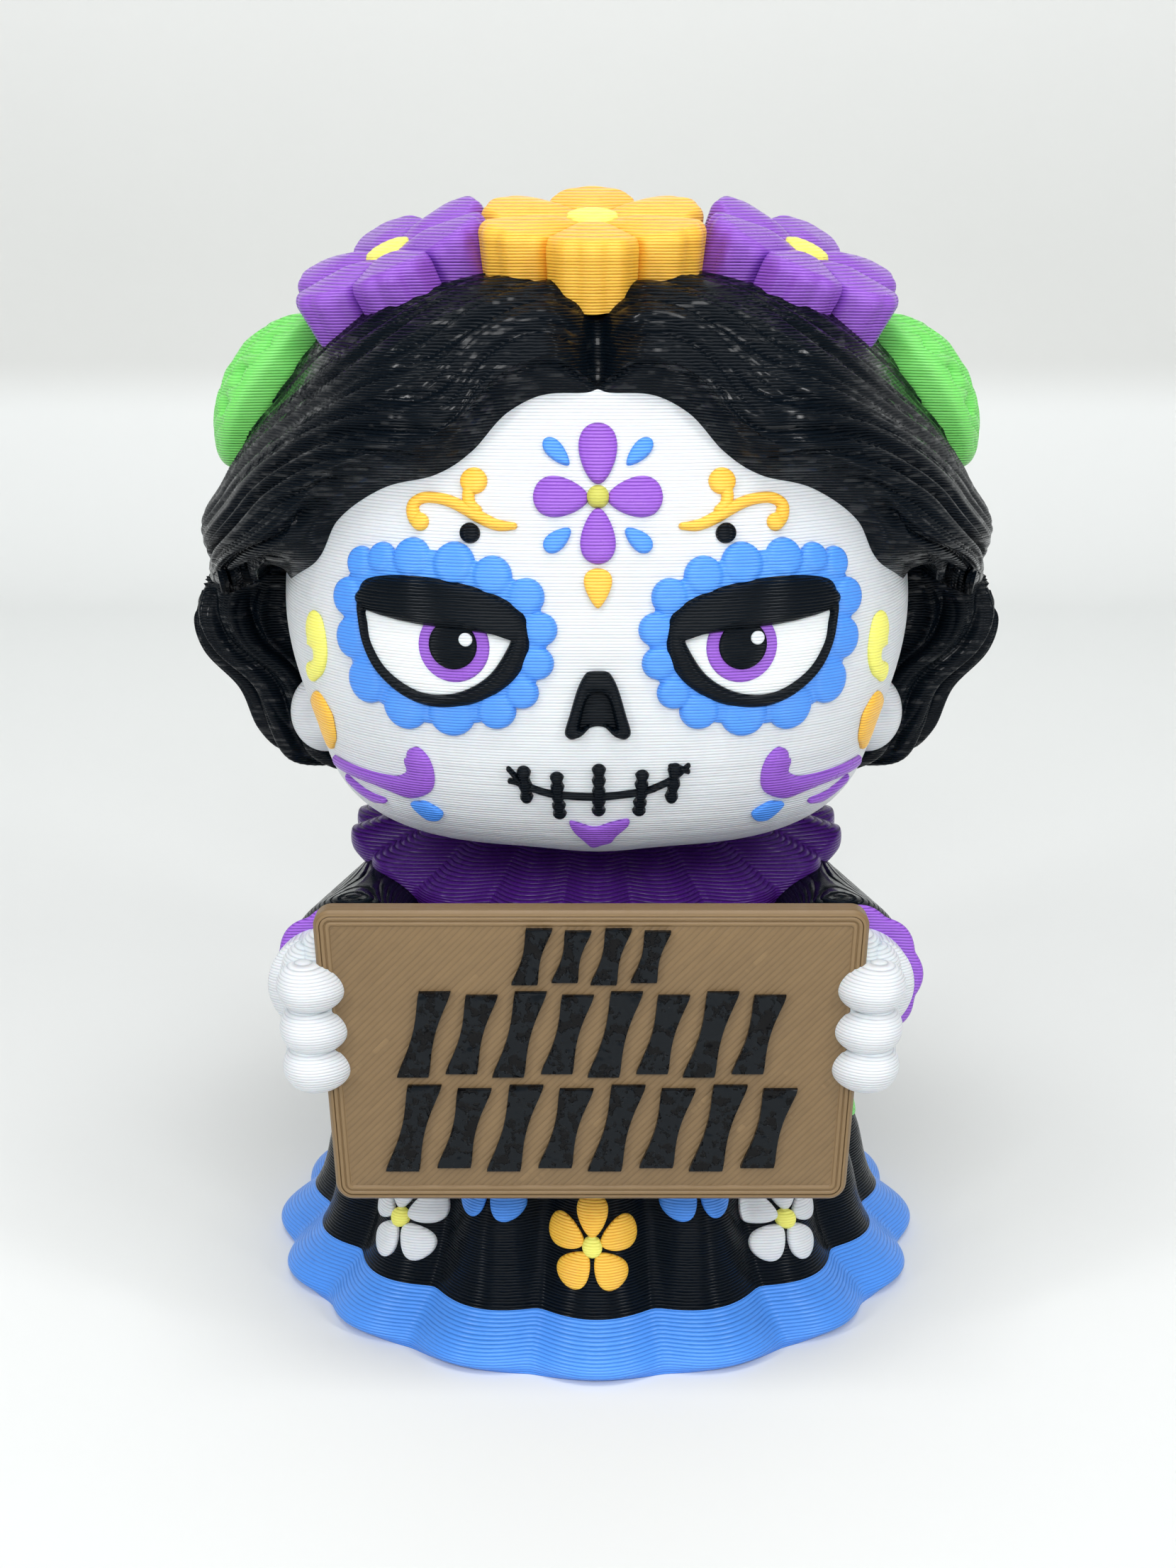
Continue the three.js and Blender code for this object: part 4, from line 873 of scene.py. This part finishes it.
def hair_locks(p, angle, ends, t, k, j, outer_y):
    """How deep the strands are pressed in. s counts strands by their distance from the ridge
    along the section, less the sweep, and at the back of the head by the way they fan down from
    the crown. Each is 1 - |sin(pi s)|^0.7 deep, in groups of three, 1 - |sin(pi s / 3)|, and
    both come and go along their length. The sweep grows as the square of the angle, so that the
    strands run out from the hairline to the outline. The swoop's end is tucked in by
    1.2 (1 - sqrt(1 - u^2)), u from 0 at 86 degrees to 1 at the end. The bob has broad locks with
    soft grooves in their place, and finer ones in them."""
    back, front = len(t), len(k)
    bob = smoothstep(angle, SWOOP_END, SWOOP_END + 4)
    step = np.linalg.norm(np.diff(p[back - 1:back + front], axis=0), axis=-1)
    to_ridge = np.vstack([np.cumsum(step[::-1], 0)[::-1], 0 * step[:1]])
    past_ridge = -np.linalg.norm(p[back + front:] - p[back + front - 1], axis=-1)
    depth = p[:back, :, 1] - outer_y
    fan = np.arctan2(np.maximum(depth, 0), np.abs(p[:back, :, 0]) + 0.5) / (np.pi / 2)

    def along(behind, ahead, rolled):
        """One grid from a value behind the outline, one ahead of it and one on the roll."""
        return np.vstack([behind + 0 * fan, ahead + 0 * to_ridge[1:], rolled + 0 * past_ridge])

    width = STRAND + (BOB_LOCK - STRAND) * bob
    swung = np.maximum(angle - SWEEP_START, 0) / (SWOOP_END - SWEEP_START)
    sweep = STRAND_SWEEP * swung ** 2 * (1 - bob)
    s = np.vstack([(to_ridge[:1] - sweep) / width + BACK_STRANDS * (1 - 0.55 * bob) * fan,
                   (to_ridge[1:] - sweep) / width, (past_ridge - sweep) / width])
    w = np.radians(angle)
    s = (s + 0.55 * np.sin(4.2 * w - 0.4) + 0.3 * np.sin(9 * w + 0.5 * s + 0.7)
         + 0.25 * np.sin(1.1 * s + 2))
    comes = 0.55 + 0.45 * np.sin(2.3 * s + 6 * w + 1)
    fine = (1 - np.abs(np.sin(np.pi * s)) ** 0.7) * comes
    group = ((1 - np.abs(np.sin(np.pi * (s / 3 + 0.25 * np.sin(5 * w)))))
             * (0.6 + 0.4 * np.sin(7 * w + 0.8 * s)))
    calm = along(smoothstep(t, 0.05, 0.5), 1, 1 - smoothstep(j, 0.1, 0.5))
    kept = 1 - smoothstep(ends, SWOOP_END - 5, SWOOP_END - 0.5)
    hood = (calm * smoothstep(angle, 1, 7)
            * (0.36 * fine + (0.6 + 0.5 * smoothstep(angle, 60, 85)) * group) * kept)
    crease = 0.45 * np.exp(-((angle / 2) ** 2)) * along(0, smoothstep(k, 0.5, 0.8), 1 - j)
    tuck = np.clip((ends - TUCK_START) / (SWOOP_END - TUCK_START), 0, 1)
    tucked = (TUCK_DEPTH * (1 - np.sqrt(1 - tuck ** 2))
              * (1 - smoothstep(ends, SWOOP_END, SWOOP_END + 1.2)))
    ahead_most = along(0.2 * smoothstep(t, 1.2, 1.57), 0.2 + 0.8 * smoothstep(k, 0, 0.4),
                       1 - smoothstep(j, 0.6, 1))
    soft = 1 - np.abs(np.sin(np.pi * (s + 0.45 * np.sin(6 * (w - 1.6))))) ** 1.1
    fine_bob = 1 - np.abs(np.sin(np.pi * 3 * (s + 0.1 * np.sin(5 * w)))) ** 0.7
    bob_calm = along(smoothstep(t, 0.05, 0.5), 1, 1 - smoothstep(j, 0.6, 1))
    begun = (smoothstep(ends, BOB_START, BOB_START + 2.5)
             * (1 - smoothstep(angle, NAPE_START, NAPE_FULL)))
    return (hood * (1 - bob) + tucked * ahead_most + (1.0 * soft + 0.16 * fine_bob) * bob_calm * begun
            + crease)


def hair(back=80):
    """The hood as two closed forms that meet along its outline: the front one dips a little
    under the back one behind the outline."""
    p = hair_grid(back=back)
    inside = np.array([0, HEAD_CENTRE[1], HAIR_CENTRE_Z])
    core = 0 * p[:1] + inside
    behind = skin(np.concatenate([p[:back], p[back - 1:back] * 0.5 + inside * 0.5, core]))
    under = p[back - 6:back - 1] - (outward(p, inside)[back - 6:back - 1]
                                    * np.linspace(0.6, 0.1, 5)[:, None, None])
    before = skin(np.concatenate([core, under[:1] * 0.5 + inside * 0.5, under, p[back - 1:], core]))
    return behind, before


for name, form in zip(("hair_back", "hair_front"), hair()):
    piece(name, [form], hair_black, sharp=180)


# ---------------------------------------------------------------- flower crown

def turned_about(points, flower, side):
    """Leans a flower forward, rolls it to its side and sets it in place."""
    lean, roll = math.radians(flower["lean"]), math.radians(-flower["roll"])
    x, y, z = points[..., 0], points[..., 1], points[..., 2]
    y, z = y * math.cos(lean) - z * math.sin(lean), y * math.sin(lean) + z * math.cos(lean)
    x, z = x * math.cos(roll) + z * math.sin(roll), z * math.cos(roll) - x * math.sin(roll)
    return (np.stack([x, y, z], -1) + flower["at"]) * [-side, 1, 1]


def crown_flower(flower, side):
    """Six thick petals about a sunk middle: r = radius k petal, petal = 1 - 0.3 (1 - |cos
    3a|^0.55) towards the rim, with four small scallops a petal; the face rises from the
    middle, -0.5 (1 - step(k)), to a low dome on each petal, with a crease between two; the rim
    is rounded and the wall goes down, a little in."""
    a = np.linspace(0, TURN, 264, endpoint=False)[None, :]
    lobe = crests(a, PETALS, 0.55)
    k = np.linspace(0, 1, 42)[:, None]
    crease = 1 - crests(a, PETALS, 0.6)
    face = (-0.5 * (1 - smoothstep(k, 0.16, 0.5)) + 0.15 * np.sin(np.pi * k) * lobe
            - 0.7 * crease * smoothstep(k, 0.2, 0.5))
    edge = np.linspace(0, np.pi / 2, 9)[1:, None]
    walls = np.linspace(0, 1, 14)[1:, None]
    rim_drop = face[-1:] - 1.0 * (1 - np.cos(edge))
    z = np.vstack([face, rim_drop, rim_drop[-1:] + (-flower["thick"] - rim_drop[-1:]) * walls,
                   0 * a - flower["thick"]])
    out = np.vstack([0.91 * k, 0.91 + 0.09 * np.sin(edge), 1 - 0.05 * walls, [[0]]])
    petal = 1 - 0.3 * (1 - lobe) * smoothstep(out, 0.3, 0.9)
    scallop = 1 - 0.032 * (1 - soft_crests(a, PETALS * 4, 1)) * smoothstep(out, 0.7, 1)
    r = flower["radius"] * out * petal * scallop
    return skin(turned_about(np.stack([r * np.sin(a), -r * np.cos(a), z + 0 * r], -1), flower, side))


def flower_button(flower, side):
    """A low flat dome in the flower's middle, 0.6 (1 - k^4)^0.5 high."""
    a = np.linspace(0, TURN, 48, endpoint=False)[None, :]
    k = np.linspace(0, 1, 14)[:, None]
    r = flower["radius"] * 0.225 * np.vstack([k, [[1]], [[0]]]) * (1 - 0.06 * np.cos(6 * a) ** 2)
    z = np.vstack([-0.55 + 0.6 * np.sqrt(1 - k**4), [[-1.2]], [[-1.2]]])
    return skin(turned_about(np.stack([r * np.sin(a), -r * np.cos(a), z + 0 * a], -1), flower, side))


def leaf(side):
    """A thick leaf: half width (1 - s^2)^0.7, half height (1 - s^2)^0.3, bowed round the hair;
    a midrib, slanting veins and three pairs of oval pits are pressed into its outer face."""
    along, facing = unit(LEAF_ALONG), unit(LEAF_FACING)
    across = unit(np.cross(facing, along))
    normal = unit(np.cross(along, across))
    s = -np.cos(np.linspace(0, np.pi, 84))[:, None]
    turn = np.linspace(0, TURN, 110, endpoint=False)[None, :]
    bow = 1 - s * s
    wide = -LEAF_WIDTH / 2 * bow**0.7 * np.cos(turn)
    high = LEAF_THICKNESS / 2 * bow**0.3
    lift = np.sign(np.sin(turn)) * np.abs(np.sin(turn)) ** 0.5 * high
    w = np.abs(np.cos(turn))
    vein = ((1.6 * s + 0.8 * w) * 2.5) % 1 - 0.5
    pits = sum(np.exp(-((((w - 0.52) / 0.2) ** 2 + ((s - at) / 0.12) ** 2) ** 2)) for at in LEAF_PITS)
    pressed = (0.4 * np.exp(-((w / 0.1) ** 2))
               + 0.3 * np.exp(-((vein / 0.16) ** 2)) * smoothstep(w, 0.1, 0.25))
    pressed = pressed * (1 - smoothstep(w, 0.72, 0.85)) * smoothstep(bow, 0.1, 0.35) + 0.7 * pits
    pressed = pressed * (np.sin(turn) > 0)
    lift = lift - LEAF_THICKNESS / 2 + LEAF_BOW * bow - pressed
    p = (LEAF_CENTRE + (LEAF_LENGTH / 2 * s)[..., None] * along + wide[..., None] * across
         + lift[..., None] * normal)
    return skin(p * [-side, 1, 1])


piece("centre_flower", [crown_flower(CENTRE_FLOWER, -1)], orange, sharp=70)
piece("side_flowers", [crown_flower(SIDE_FLOWER, s) for s in SIDES], purple, sharp=70)
piece("flower_buttons",
      [flower_button(CENTRE_FLOWER, -1)] + [flower_button(SIDE_FLOWER, s) for s in SIDES],
      yellow)
piece("leaves", [leaf(s) for s in SIDES], green, sharp=70)


# ---------------------------------------------------------------- dress

def skirt_radius(turn, z):
    """crest(z) - dip(z) (1 - soft |cos(8 turn)|^0.9)."""
    dip = 1 - soft_crests(turn, FLUTES, 0.9)
    return smooth(SKIRT_Z, SKIRT_CREST, z) - smooth(SKIRT_Z, SKIRT_DIP, z) * dip


def on_skirt(turn, z, lift=0.0):
    """The point lift outside the flutes, at a turn from the front and a height."""
    r = skirt_radius(turn, z) + lift
    return np.stack([r * np.sin(turn), -r * np.cos(turn), z + 0 * r], -1)


def closed(body):
    """A form of level rings, closed flat at its top and bottom on the middle line."""
    return skin(np.concatenate([body[:1] * [0, 0, 1], body, body[-1:] * [0, 0, 1]]))


def skirt_band(low, high, rows):
    """The fluted bell between two heights."""
    turn = np.linspace(0, TURN, FLUTES * 20, endpoint=False)[None, :]
    z = np.linspace(high, low, rows)[:, None] + 0 * turn
    return closed(on_skirt(turn + 0 * z, z))


def torso():
    """Ovals through the torso's rings, cubic in between."""
    turn = np.linspace(0, TURN, 120, endpoint=False)[None, :]
    z = np.linspace(TORSO_Z[-1], TORSO_Z[0], 60)[:, None]
    x, y = smooth(TORSO_Z, TORSO_X, z), smooth(TORSO_Z, TORSO_Y, z)
    return closed(np.stack([x * np.sin(turn), -y * np.cos(turn), z + 0 * turn], -1))


def limb(path, share, radius, cap, columns):
    """A round limb along a path, share rising from 0 to 1 along it: its radius is drawn in to a
    dome over the share cap at each end, radius sqrt(1 - (1 - u)^2)."""
    along = unit(np.gradient(path, axis=0))
    across = unit(np.cross([0, 0, 1], along))
    up = np.cross(along, across)
    end = np.clip(np.minimum(share, 1 - share) / cap, 0, 1)
    r = radius * np.sqrt(1 - (1 - end) ** 2)
    t = np.linspace(0, TURN, columns, endpoint=False)
    ring = across[:, None] * np.cos(t)[:, None] + up[:, None] * np.sin(t)[:, None]
    return path[:, None] + ring * r[:, None, None]


def sleeve(side):
    """A quadratic from shoulder by elbow to wrist, radius 5.5 (0.92 + 0.1 v)."""
    v = (1 - np.cos(np.linspace(0, np.pi, 60))) / 2
    w = v[:, None]
    path = (1 - w) ** 2 * SHOULDER + 2 * w * (1 - w) * ELBOW + w**2 * WRIST
    return skin(limb(path, v, SLEEVE_RADIUS * (0.92 + 0.1 * v), 0.15, 60) * [side, 1, 1])


def cuff(side):
    """A flared ruffle about the wrist: the profile's radius times 1 - 0.06 (1 - soft |cos|) of
    nine waves, deeper towards its lip."""
    forward = unit(WRIST - ELBOW)
    across = unit(np.cross([0, 0, 1], forward))
    rise = np.cross(forward, across)
    go, r = np.array(CUFF_PROFILE).T[..., None]
    t = np.linspace(0, TURN, CUFF_WAVES * 16, endpoint=False)[None, :]
    wave = 1 - 0.06 * (1 - soft_crests(t, CUFF_WAVES, 1)) * smoothstep(go, -3.3, 0)
    ring = CUFF_RADIUS * r * wave
    p = (CUFF_CENTRE + go[..., None] * forward + (ring * np.cos(t))[..., None] * across
         + (ring * np.sin(t))[..., None] * rise)
    return skin(p * [side, 1, 1])


def collar():
    """A ruffled cape: rim radius 19 + 2.9 sin^2 + ruffle, rim height 37.6 + 3 sin^4, top
    46 + (rim - 46) out^0.8, and the same again 1.6 mm lower."""
    turn = np.linspace(0, TURN, COLLAR_RUFFLES * 16, endpoint=False)[None, :]
    side = np.sin(turn) ** 2
    ruffle = crests(turn, COLLAR_RUFFLES, 1) - 0.5
    rim_r = COLLAR_FRONT_RADIUS + (COLLAR_SIDE_RADIUS - COLLAR_FRONT_RADIUS) * side + ruffle
    rim_z = COLLAR_FRONT_Z + (COLLAR_SIDE_Z - COLLAR_FRONT_Z) * side**2
    out = np.linspace(0, 1, 40)[:, None]
    lip = np.linspace(0, np.pi, 7)[1:-1, None]

    def at(out, drop):
        """The cape's points a share out of the way from neck to rim, drop lower."""
        r = COLLAR_NECK_RADIUS + (rim_r - COLLAR_NECK_RADIUS) * out
        z = COLLAR_NECK_Z + (rim_z - COLLAR_NECK_Z) * out**0.8 + 0.7 * ruffle * out
        return np.stack([r * np.sin(turn), -r * np.cos(turn), z - drop + 0 * r], -1)

    top = at(out, 0)
    edge = at(1 + 0 * lip, COLLAR_THICKNESS * (1 - np.cos(lip)) / 2)
    edge[..., :2] *= 1 + 0.008 * np.sin(lip)[..., None]
    under = at(out[::-1], COLLAR_THICKNESS)
    return skin(np.concatenate([top[:1] * [0, 0, 1], top, edge, under, under[-1:] * [0, 0, 1]]))


def skirt_petal(turn, z, pointing, length, width, reach):
    """A drop-shaped petal on the skirt, its middle at reach from the blossom's middle."""
    t = np.linspace(0, TURN, 36, endpoint=False)
    along = reach + length / 2 * np.cos(t)
    across = width / 2 * np.sin(t) * (1 + 0.35 * np.cos(t))
    c, s = math.cos(math.radians(pointing)), math.sin(math.radians(pointing))
    around = turn + (along * c - across * s) / smooth(SKIRT_Z, SKIRT_CREST, z)
    outline = np.stack([around, z + along * s + across * c], -1)
    return raised(outline, on_skirt, 0.32, wall=0.2, crown=2.4, rows=7)


def blossom(flute, z, petals, size, start):
    """Petals round the middle of a blossom on one flute."""
    turn = TURN * flute / FLUTES
    return [skirt_petal(turn, z, start + 360 * i / petals, 0.87 * size, 0.68 * size, 0.63 * size)
            for i in range(petals)]


def blossom_button(flute, z, radius):
    """A round raised patch in the middle of a blossom."""
    turn, t = TURN * flute / FLUTES, np.linspace(0, TURN, 28, endpoint=False)
    around = turn + radius * np.cos(t) / smooth(SKIRT_Z, SKIRT_CREST, z)
    outline = np.stack([around, z + radius * np.sin(t)], -1)
    return raised(outline, on_skirt, 0.4, wall=0.3, crown=2, rows=6)


BLOSSOM_SIZE, BLOSSOM_PETALS, BLOSSOM_BUTTON = 3.9, 5, 0.85
LOW_Z, HIGH_Z = 10.3, 15.6
# Flute counted from the front, height, colour, the way the first petal points.
blossoms = [(-0.04, LOW_Z, "orange", 90), (1.83, LOW_Z - 0.5, "white", 84),
            (-1.9, LOW_Z - 0.5, "white", 96), (0.94, HIGH_Z - 0.3, "blue", 90),
            (-1, HIGH_Z - 0.3, "blue", 90), (4, HIGH_Z, "green", 90), (-4, HIGH_Z, "green", 90),
            (5, LOW_Z, "orange", 90), (-5, LOW_Z, "orange", 90), (6, HIGH_Z, "blue", 90),
            (-6, HIGH_Z, "blue", 90), (8, LOW_Z, "white", 90)]
blossom_finish = {"orange": orange, "white": white, "blue": blue, "green": green}

piece("skirt", [skirt_band(HEM_HEIGHT, SKIRT_TOP, 120)], black)
piece("hem", [skirt_band(0, HEM_HEIGHT, 40)], blue)
piece("bodice", [torso(), sleeve(-1), sleeve(1)], black)
piece("cuffs", [cuff(s) for s in SIDES], purple, sharp=70)
piece("collar", [collar()], deep_purple, sharp=70)
for shade_name, finish in blossom_finish.items():
    made = [petal for flute, z, colour, start in blossoms if colour == shade_name
            for petal in blossom(flute, z, BLOSSOM_PETALS, BLOSSOM_SIZE, start)]
    piece(f"{shade_name}_blossoms", made, finish)
piece("blossom_buttons", [blossom_button(flute, z, BLOSSOM_BUTTON) for flute, z, _, _ in blossoms],
      yellow)


# ---------------------------------------------------------------- hands

def ball(centre, half, narrow=0.0, droop=0.0, rows=34, columns=44):
    """An ellipsoid about the x axis: half sizes times (1 - narrow u) across, u from -1 at its
    outer end to 1 at its tip, with the tip lower by droop."""
    u = -np.cos(np.linspace(0, np.pi, rows))[:, None]
    turn = np.linspace(0, TURN, columns, endpoint=False)[None, :]
    ring = np.sqrt(np.maximum(0, 1 - u * u)) * (1 - narrow * u)
    x, y, z = centre
    return np.stack([x - half[0] * u + 0 * turn, y + half[1] * ring * np.cos(turn),
                     z + half[2] * ring * np.sin(turn) - droop * u], -1)


def hand(side):
    """Three fat fingers over the sign's edge, the back of the hand above and behind them, all
    ellipsoids, and a round wrist into the cuff."""
    fingers = [ball((HAND_OUT + 0.05 - 0.15 * i, SIGN_FRONT_Y + 0.4, z), FINGER_HALF, 0.12, 0.2)
               for i, z in enumerate(FINGER_Z)]
    knuckles = [ball((HAND_OUT + 0.35 - 0.1 * i, SIGN_FRONT_Y + 3.2, z + 0.4), KNUCKLE_HALF)
                for i, z in enumerate(FINGER_Z)]
    back = ball((HAND_OUT - 0.3, SIGN_FRONT_Y + 4, 34.9), PALM_HALF)
    s = np.linspace(0, 1, 30)
    path = (1 - s)[:, None] * HAND_WRIST[0] + s[:, None] * HAND_WRIST[1]
    wrist = limb(path, s, HAND_WRIST_RADIUS, 0.2, 48)
    return [skin(grid * [side, 1, 1] + [SIGN_X, 0, 0]) for grid in (*fingers, *knuckles, back, wrist)]


piece("hands", hand(-1) + hand(1), white)


# ---------------------------------------------------------------- sign

def board_outline(inset, steps=14):
    """A rounded rectangle drawn in by inset, as four quarter rounds joined by straight sides;
    its sides lean out towards the top: x is scaled by the half width at its height over the
    mean half width."""
    mean = (SIGN_BOTTOM_HALF + SIGN_TOP_HALF) / 2
    tall = (SIGN_TOP_Z - SIGN_BOTTOM_Z) / 2
    corner = max(SIGN_CORNER - inset, 0.3)
    quarter = np.linspace(0, np.pi / 2, steps)
    turn = np.concatenate([quarter + q * np.pi / 2 for q in range(4)])
    towards_x, towards_z = np.repeat([1, -1, -1, 1], steps), np.repeat([1, 1, -1, -1], steps)
    x = towards_x * (mean - inset - corner) + corner * np.cos(turn)
    z = towards_z * (tall - inset - corner) + corner * np.sin(turn)
    half = SIGN_BOTTOM_HALF + (SIGN_TOP_HALF - SIGN_BOTTOM_HALF) * (z + tall) / (2 * tall)
    return np.stack([SIGN_X + x * half / mean, z + SIGN_BOTTOM_Z + tall], -1)


def board():
    """Front face, two border lines between grooves of 0.13 |cos|^4 round it, a rounded edge, the
    side and the back: each ring is the outline drawn in by inset at its own depth."""
    border = np.linspace(SIGN_BORDER, SIGN_BORDER - 2 * LINE, 26)
    insets = [4.0, 2.0] + list(border)
    depth = [0, 0] + list(BORDER_DEPTH * np.abs(np.cos(np.pi * (border - border[-1]) / LINE)) ** 4)
    edge = np.linspace(0, math.pi / 2, 9)
    insets += list(border[-1] * (1 - np.sin(edge)))
    depth += list(0.02 + 0.5 * (1 - np.cos(edge)))
    insets += [0, 0] + list(0.3 * (1 - np.cos(edge)))
    depth += [0.9, 1.6] + list(SIGN_THICKNESS - 0.3 * (1 - np.sin(edge)))
    rings = [np.insert(board_outline(i), 1, SIGN_FRONT_Y + d, axis=1) for i, d in zip(insets, depth)]
    front = np.mean(rings[0], 0) + (rings[0] - np.mean(rings[0], 0)) * 0
    back = np.mean(rings[-1], 0) + 0 * front
    return skin(np.stack([front, *rings, back]))


def on_board(x, z, lift=0.0):
    """The point lift in front of the sign's face."""
    return np.stack([x, SIGN_FRONT_Y - lift, z], -1)


def sign_stroke(x, z, wide, tall):
    """A leaning stroke with a waist and swollen round ends: half width wide/2 (0.6 + 0.4 v^2),
    v from -1 to 1 up the stroke, ends rounded, leaning by 0.13 tall v."""
    turn = np.linspace(0, TURN, 96, endpoint=False)
    v = np.clip(1.12 * np.sign(np.sin(turn)) * np.abs(np.sin(turn)) ** 0.75, -1, 1)
    edge = np.sign(np.cos(turn)) * np.abs(np.cos(turn)) ** 0.28
    half = wide / 2 * (0.6 + 0.4 * v**2)
    outline = np.stack([x + 0.13 * tall * v + edge * half, z + tall / 2 * v], -1)
    return raised(outline, on_board, 0.2, wall=0.3, crown=7, rows=9, middle=(x, z))


def stroke_row(z, width, tall, count):
    """count strokes side by side, every second one a little lower."""
    pitch = width / count
    return [sign_stroke(SIGN_X + pitch * (i + 0.5) - width / 2, z, pitch * 0.8,
                        tall * (0.92 if i % 2 else 1)) for i in range(count)]


piece("sign_plate", [board()], brown, "sign_board", sharp=30)
piece("sign_strokes", [stroke for row in STROKE_ROWS for stroke in stroke_row(*row)],
      charcoal, "sign_board")


# ---------------------------------------------------------------- camera, light and floor

# The camera, as worked out from the ring of the hem and the sign: where it stands, in metres,
# how far it looks down, in degrees, and its focal length in pixels of the whole image.
CAMERA_AT = (-0.00075, -0.1923, 0.0966)
CAMERA_DOWN = 15.3
FOCAL_PIXELS, IMAGE_HEIGHT = 3067, 2212
SENSOR = 36
# The floor, in millimetres: its near edge, where it bends up, the bend, the wall's top, half width.
FLOOR_NEAR, FLOOR_BEND, BEND_RADIUS, WALL_TOP, FLOOR_HALF = -1200, 320, 80, 1200, 1500

camera = bpy.data.cameras.new("camera")
camera.lens = SENSOR * FOCAL_PIXELS / IMAGE_HEIGHT
camera.sensor_width = SENSOR
camera.clip_start = 0.01
camera_object = bpy.data.objects.new("camera", camera)
camera_object.location = CAMERA_AT
camera_object.rotation_euler = (math.radians(90 - CAMERA_DOWN), 0, 0)
bpy.context.scene.collection.objects.link(camera_object)
bpy.context.scene.camera = camera_object


def floor():
    """A level floor that curves up into a wall far behind: a quarter round of radius 80 mm."""
    turn = np.linspace(0, math.pi / 2, 24)
    y = np.concatenate([[FLOOR_NEAR], FLOOR_BEND + BEND_RADIUS * np.sin(turn),
                        [FLOOR_BEND + BEND_RADIUS]])
    z = np.concatenate([[0], BEND_RADIUS * (1 - np.cos(turn)), [WALL_TOP]])
    x = np.linspace(-FLOOR_HALF, FLOOR_HALF, 3)
    verts = np.stack(np.broadcast_arrays(x[None, :], y[:, None], z[:, None]), -1).reshape(-1, 3) * MM
    at = np.arange(len(y) * 3).reshape(-1, 3)
    faces = np.stack([at[:-1, :-1], at[:-1, 1:], at[1:, 1:], at[1:, :-1]], -1).reshape(-1, 4)
    mesh = bpy.data.meshes.new("floor")
    mesh.from_pydata(verts.tolist(), [], faces.tolist())
    mesh.polygons.foreach_set("use_smooth", np.ones(len(faces), bool))
    made = bpy.data.objects.new("floor", mesh)
    bpy.context.scene.collection.objects.link(made)
    return made


paper = Finish("pale_floor")
paper_grain = paper.noise(paper.place, 9.0, 2.0)
# painted light: the floor is lighter towards the back, making up for the lamps' falloff, and the wall
# darker low down, a painted shadow band where it bends up
floor_painted_lighter_far = paper.mix(paper.y.within(50, 300), rgba(0.785, 0.8, 0.792), rgba(0.86, 0.88, 0.87))
wall_painted_shadow_band = paper.mix(paper.z.within(60, 250), rgba(0.7, 0.71, 0.69), rgba(0.86, 0.87, 0.86))
paper_both = paper.mix(paper.z.within(38, 54), floor_painted_lighter_far, wall_painted_shadow_band)
paper_finish = paper.surface(paper.mix(paper_grain * 0.12, paper_both, rgba(1.0, 1.0, 1.0)),
                             paper_grain * 0.1 + 0.5, paper.normal, IOR=1.3)
ground = floor()
ground.data.materials.append(paper_finish)


def softbox(name, at, towards, size, power):
    """A flat light of size (wide, tall) metres at a point, turned to face another, in watts."""
    light = bpy.data.lights.new(name, "AREA")
    light.shape = "RECTANGLE"
    light.size, light.size_y = size
    light.energy = power
    made = bpy.data.objects.new(name, light)
    made.location = at
    way = np.array(towards, float) - np.array(at, float)
    made.rotation_euler = (math.atan2(math.hypot(way[0], way[1]), -way[2]), 0,
                           math.atan2(way[1], way[0]) - math.pi / 2)
    bpy.context.scene.collection.objects.link(made)


LIT = (0, 0, 0.05)
softbox("overhead", (0, -0.2, 0.68), LIT, (0.5, 0.3), 2.32)
softbox("front_box", (0, -0.62, 0.42), LIT, (0.45, 0.14), 2.0)
softbox("left_box", (-0.45, -0.42, 0.36), LIT, (0.06, 0.4), 1.35)
softbox("right_box", (0.45, -0.42, 0.36), LIT, (0.06, 0.4), 1.35)

world = bpy.data.worlds.new("studio")
world.use_nodes = True
background = world.node_tree.nodes["Background"]
background.inputs[0].default_value = rgba(0.96, 0.98, 1.0)
background.inputs[1].default_value = 0.24
bpy.context.scene.world = world
bpy.context.scene.view_settings.view_transform = "Standard"
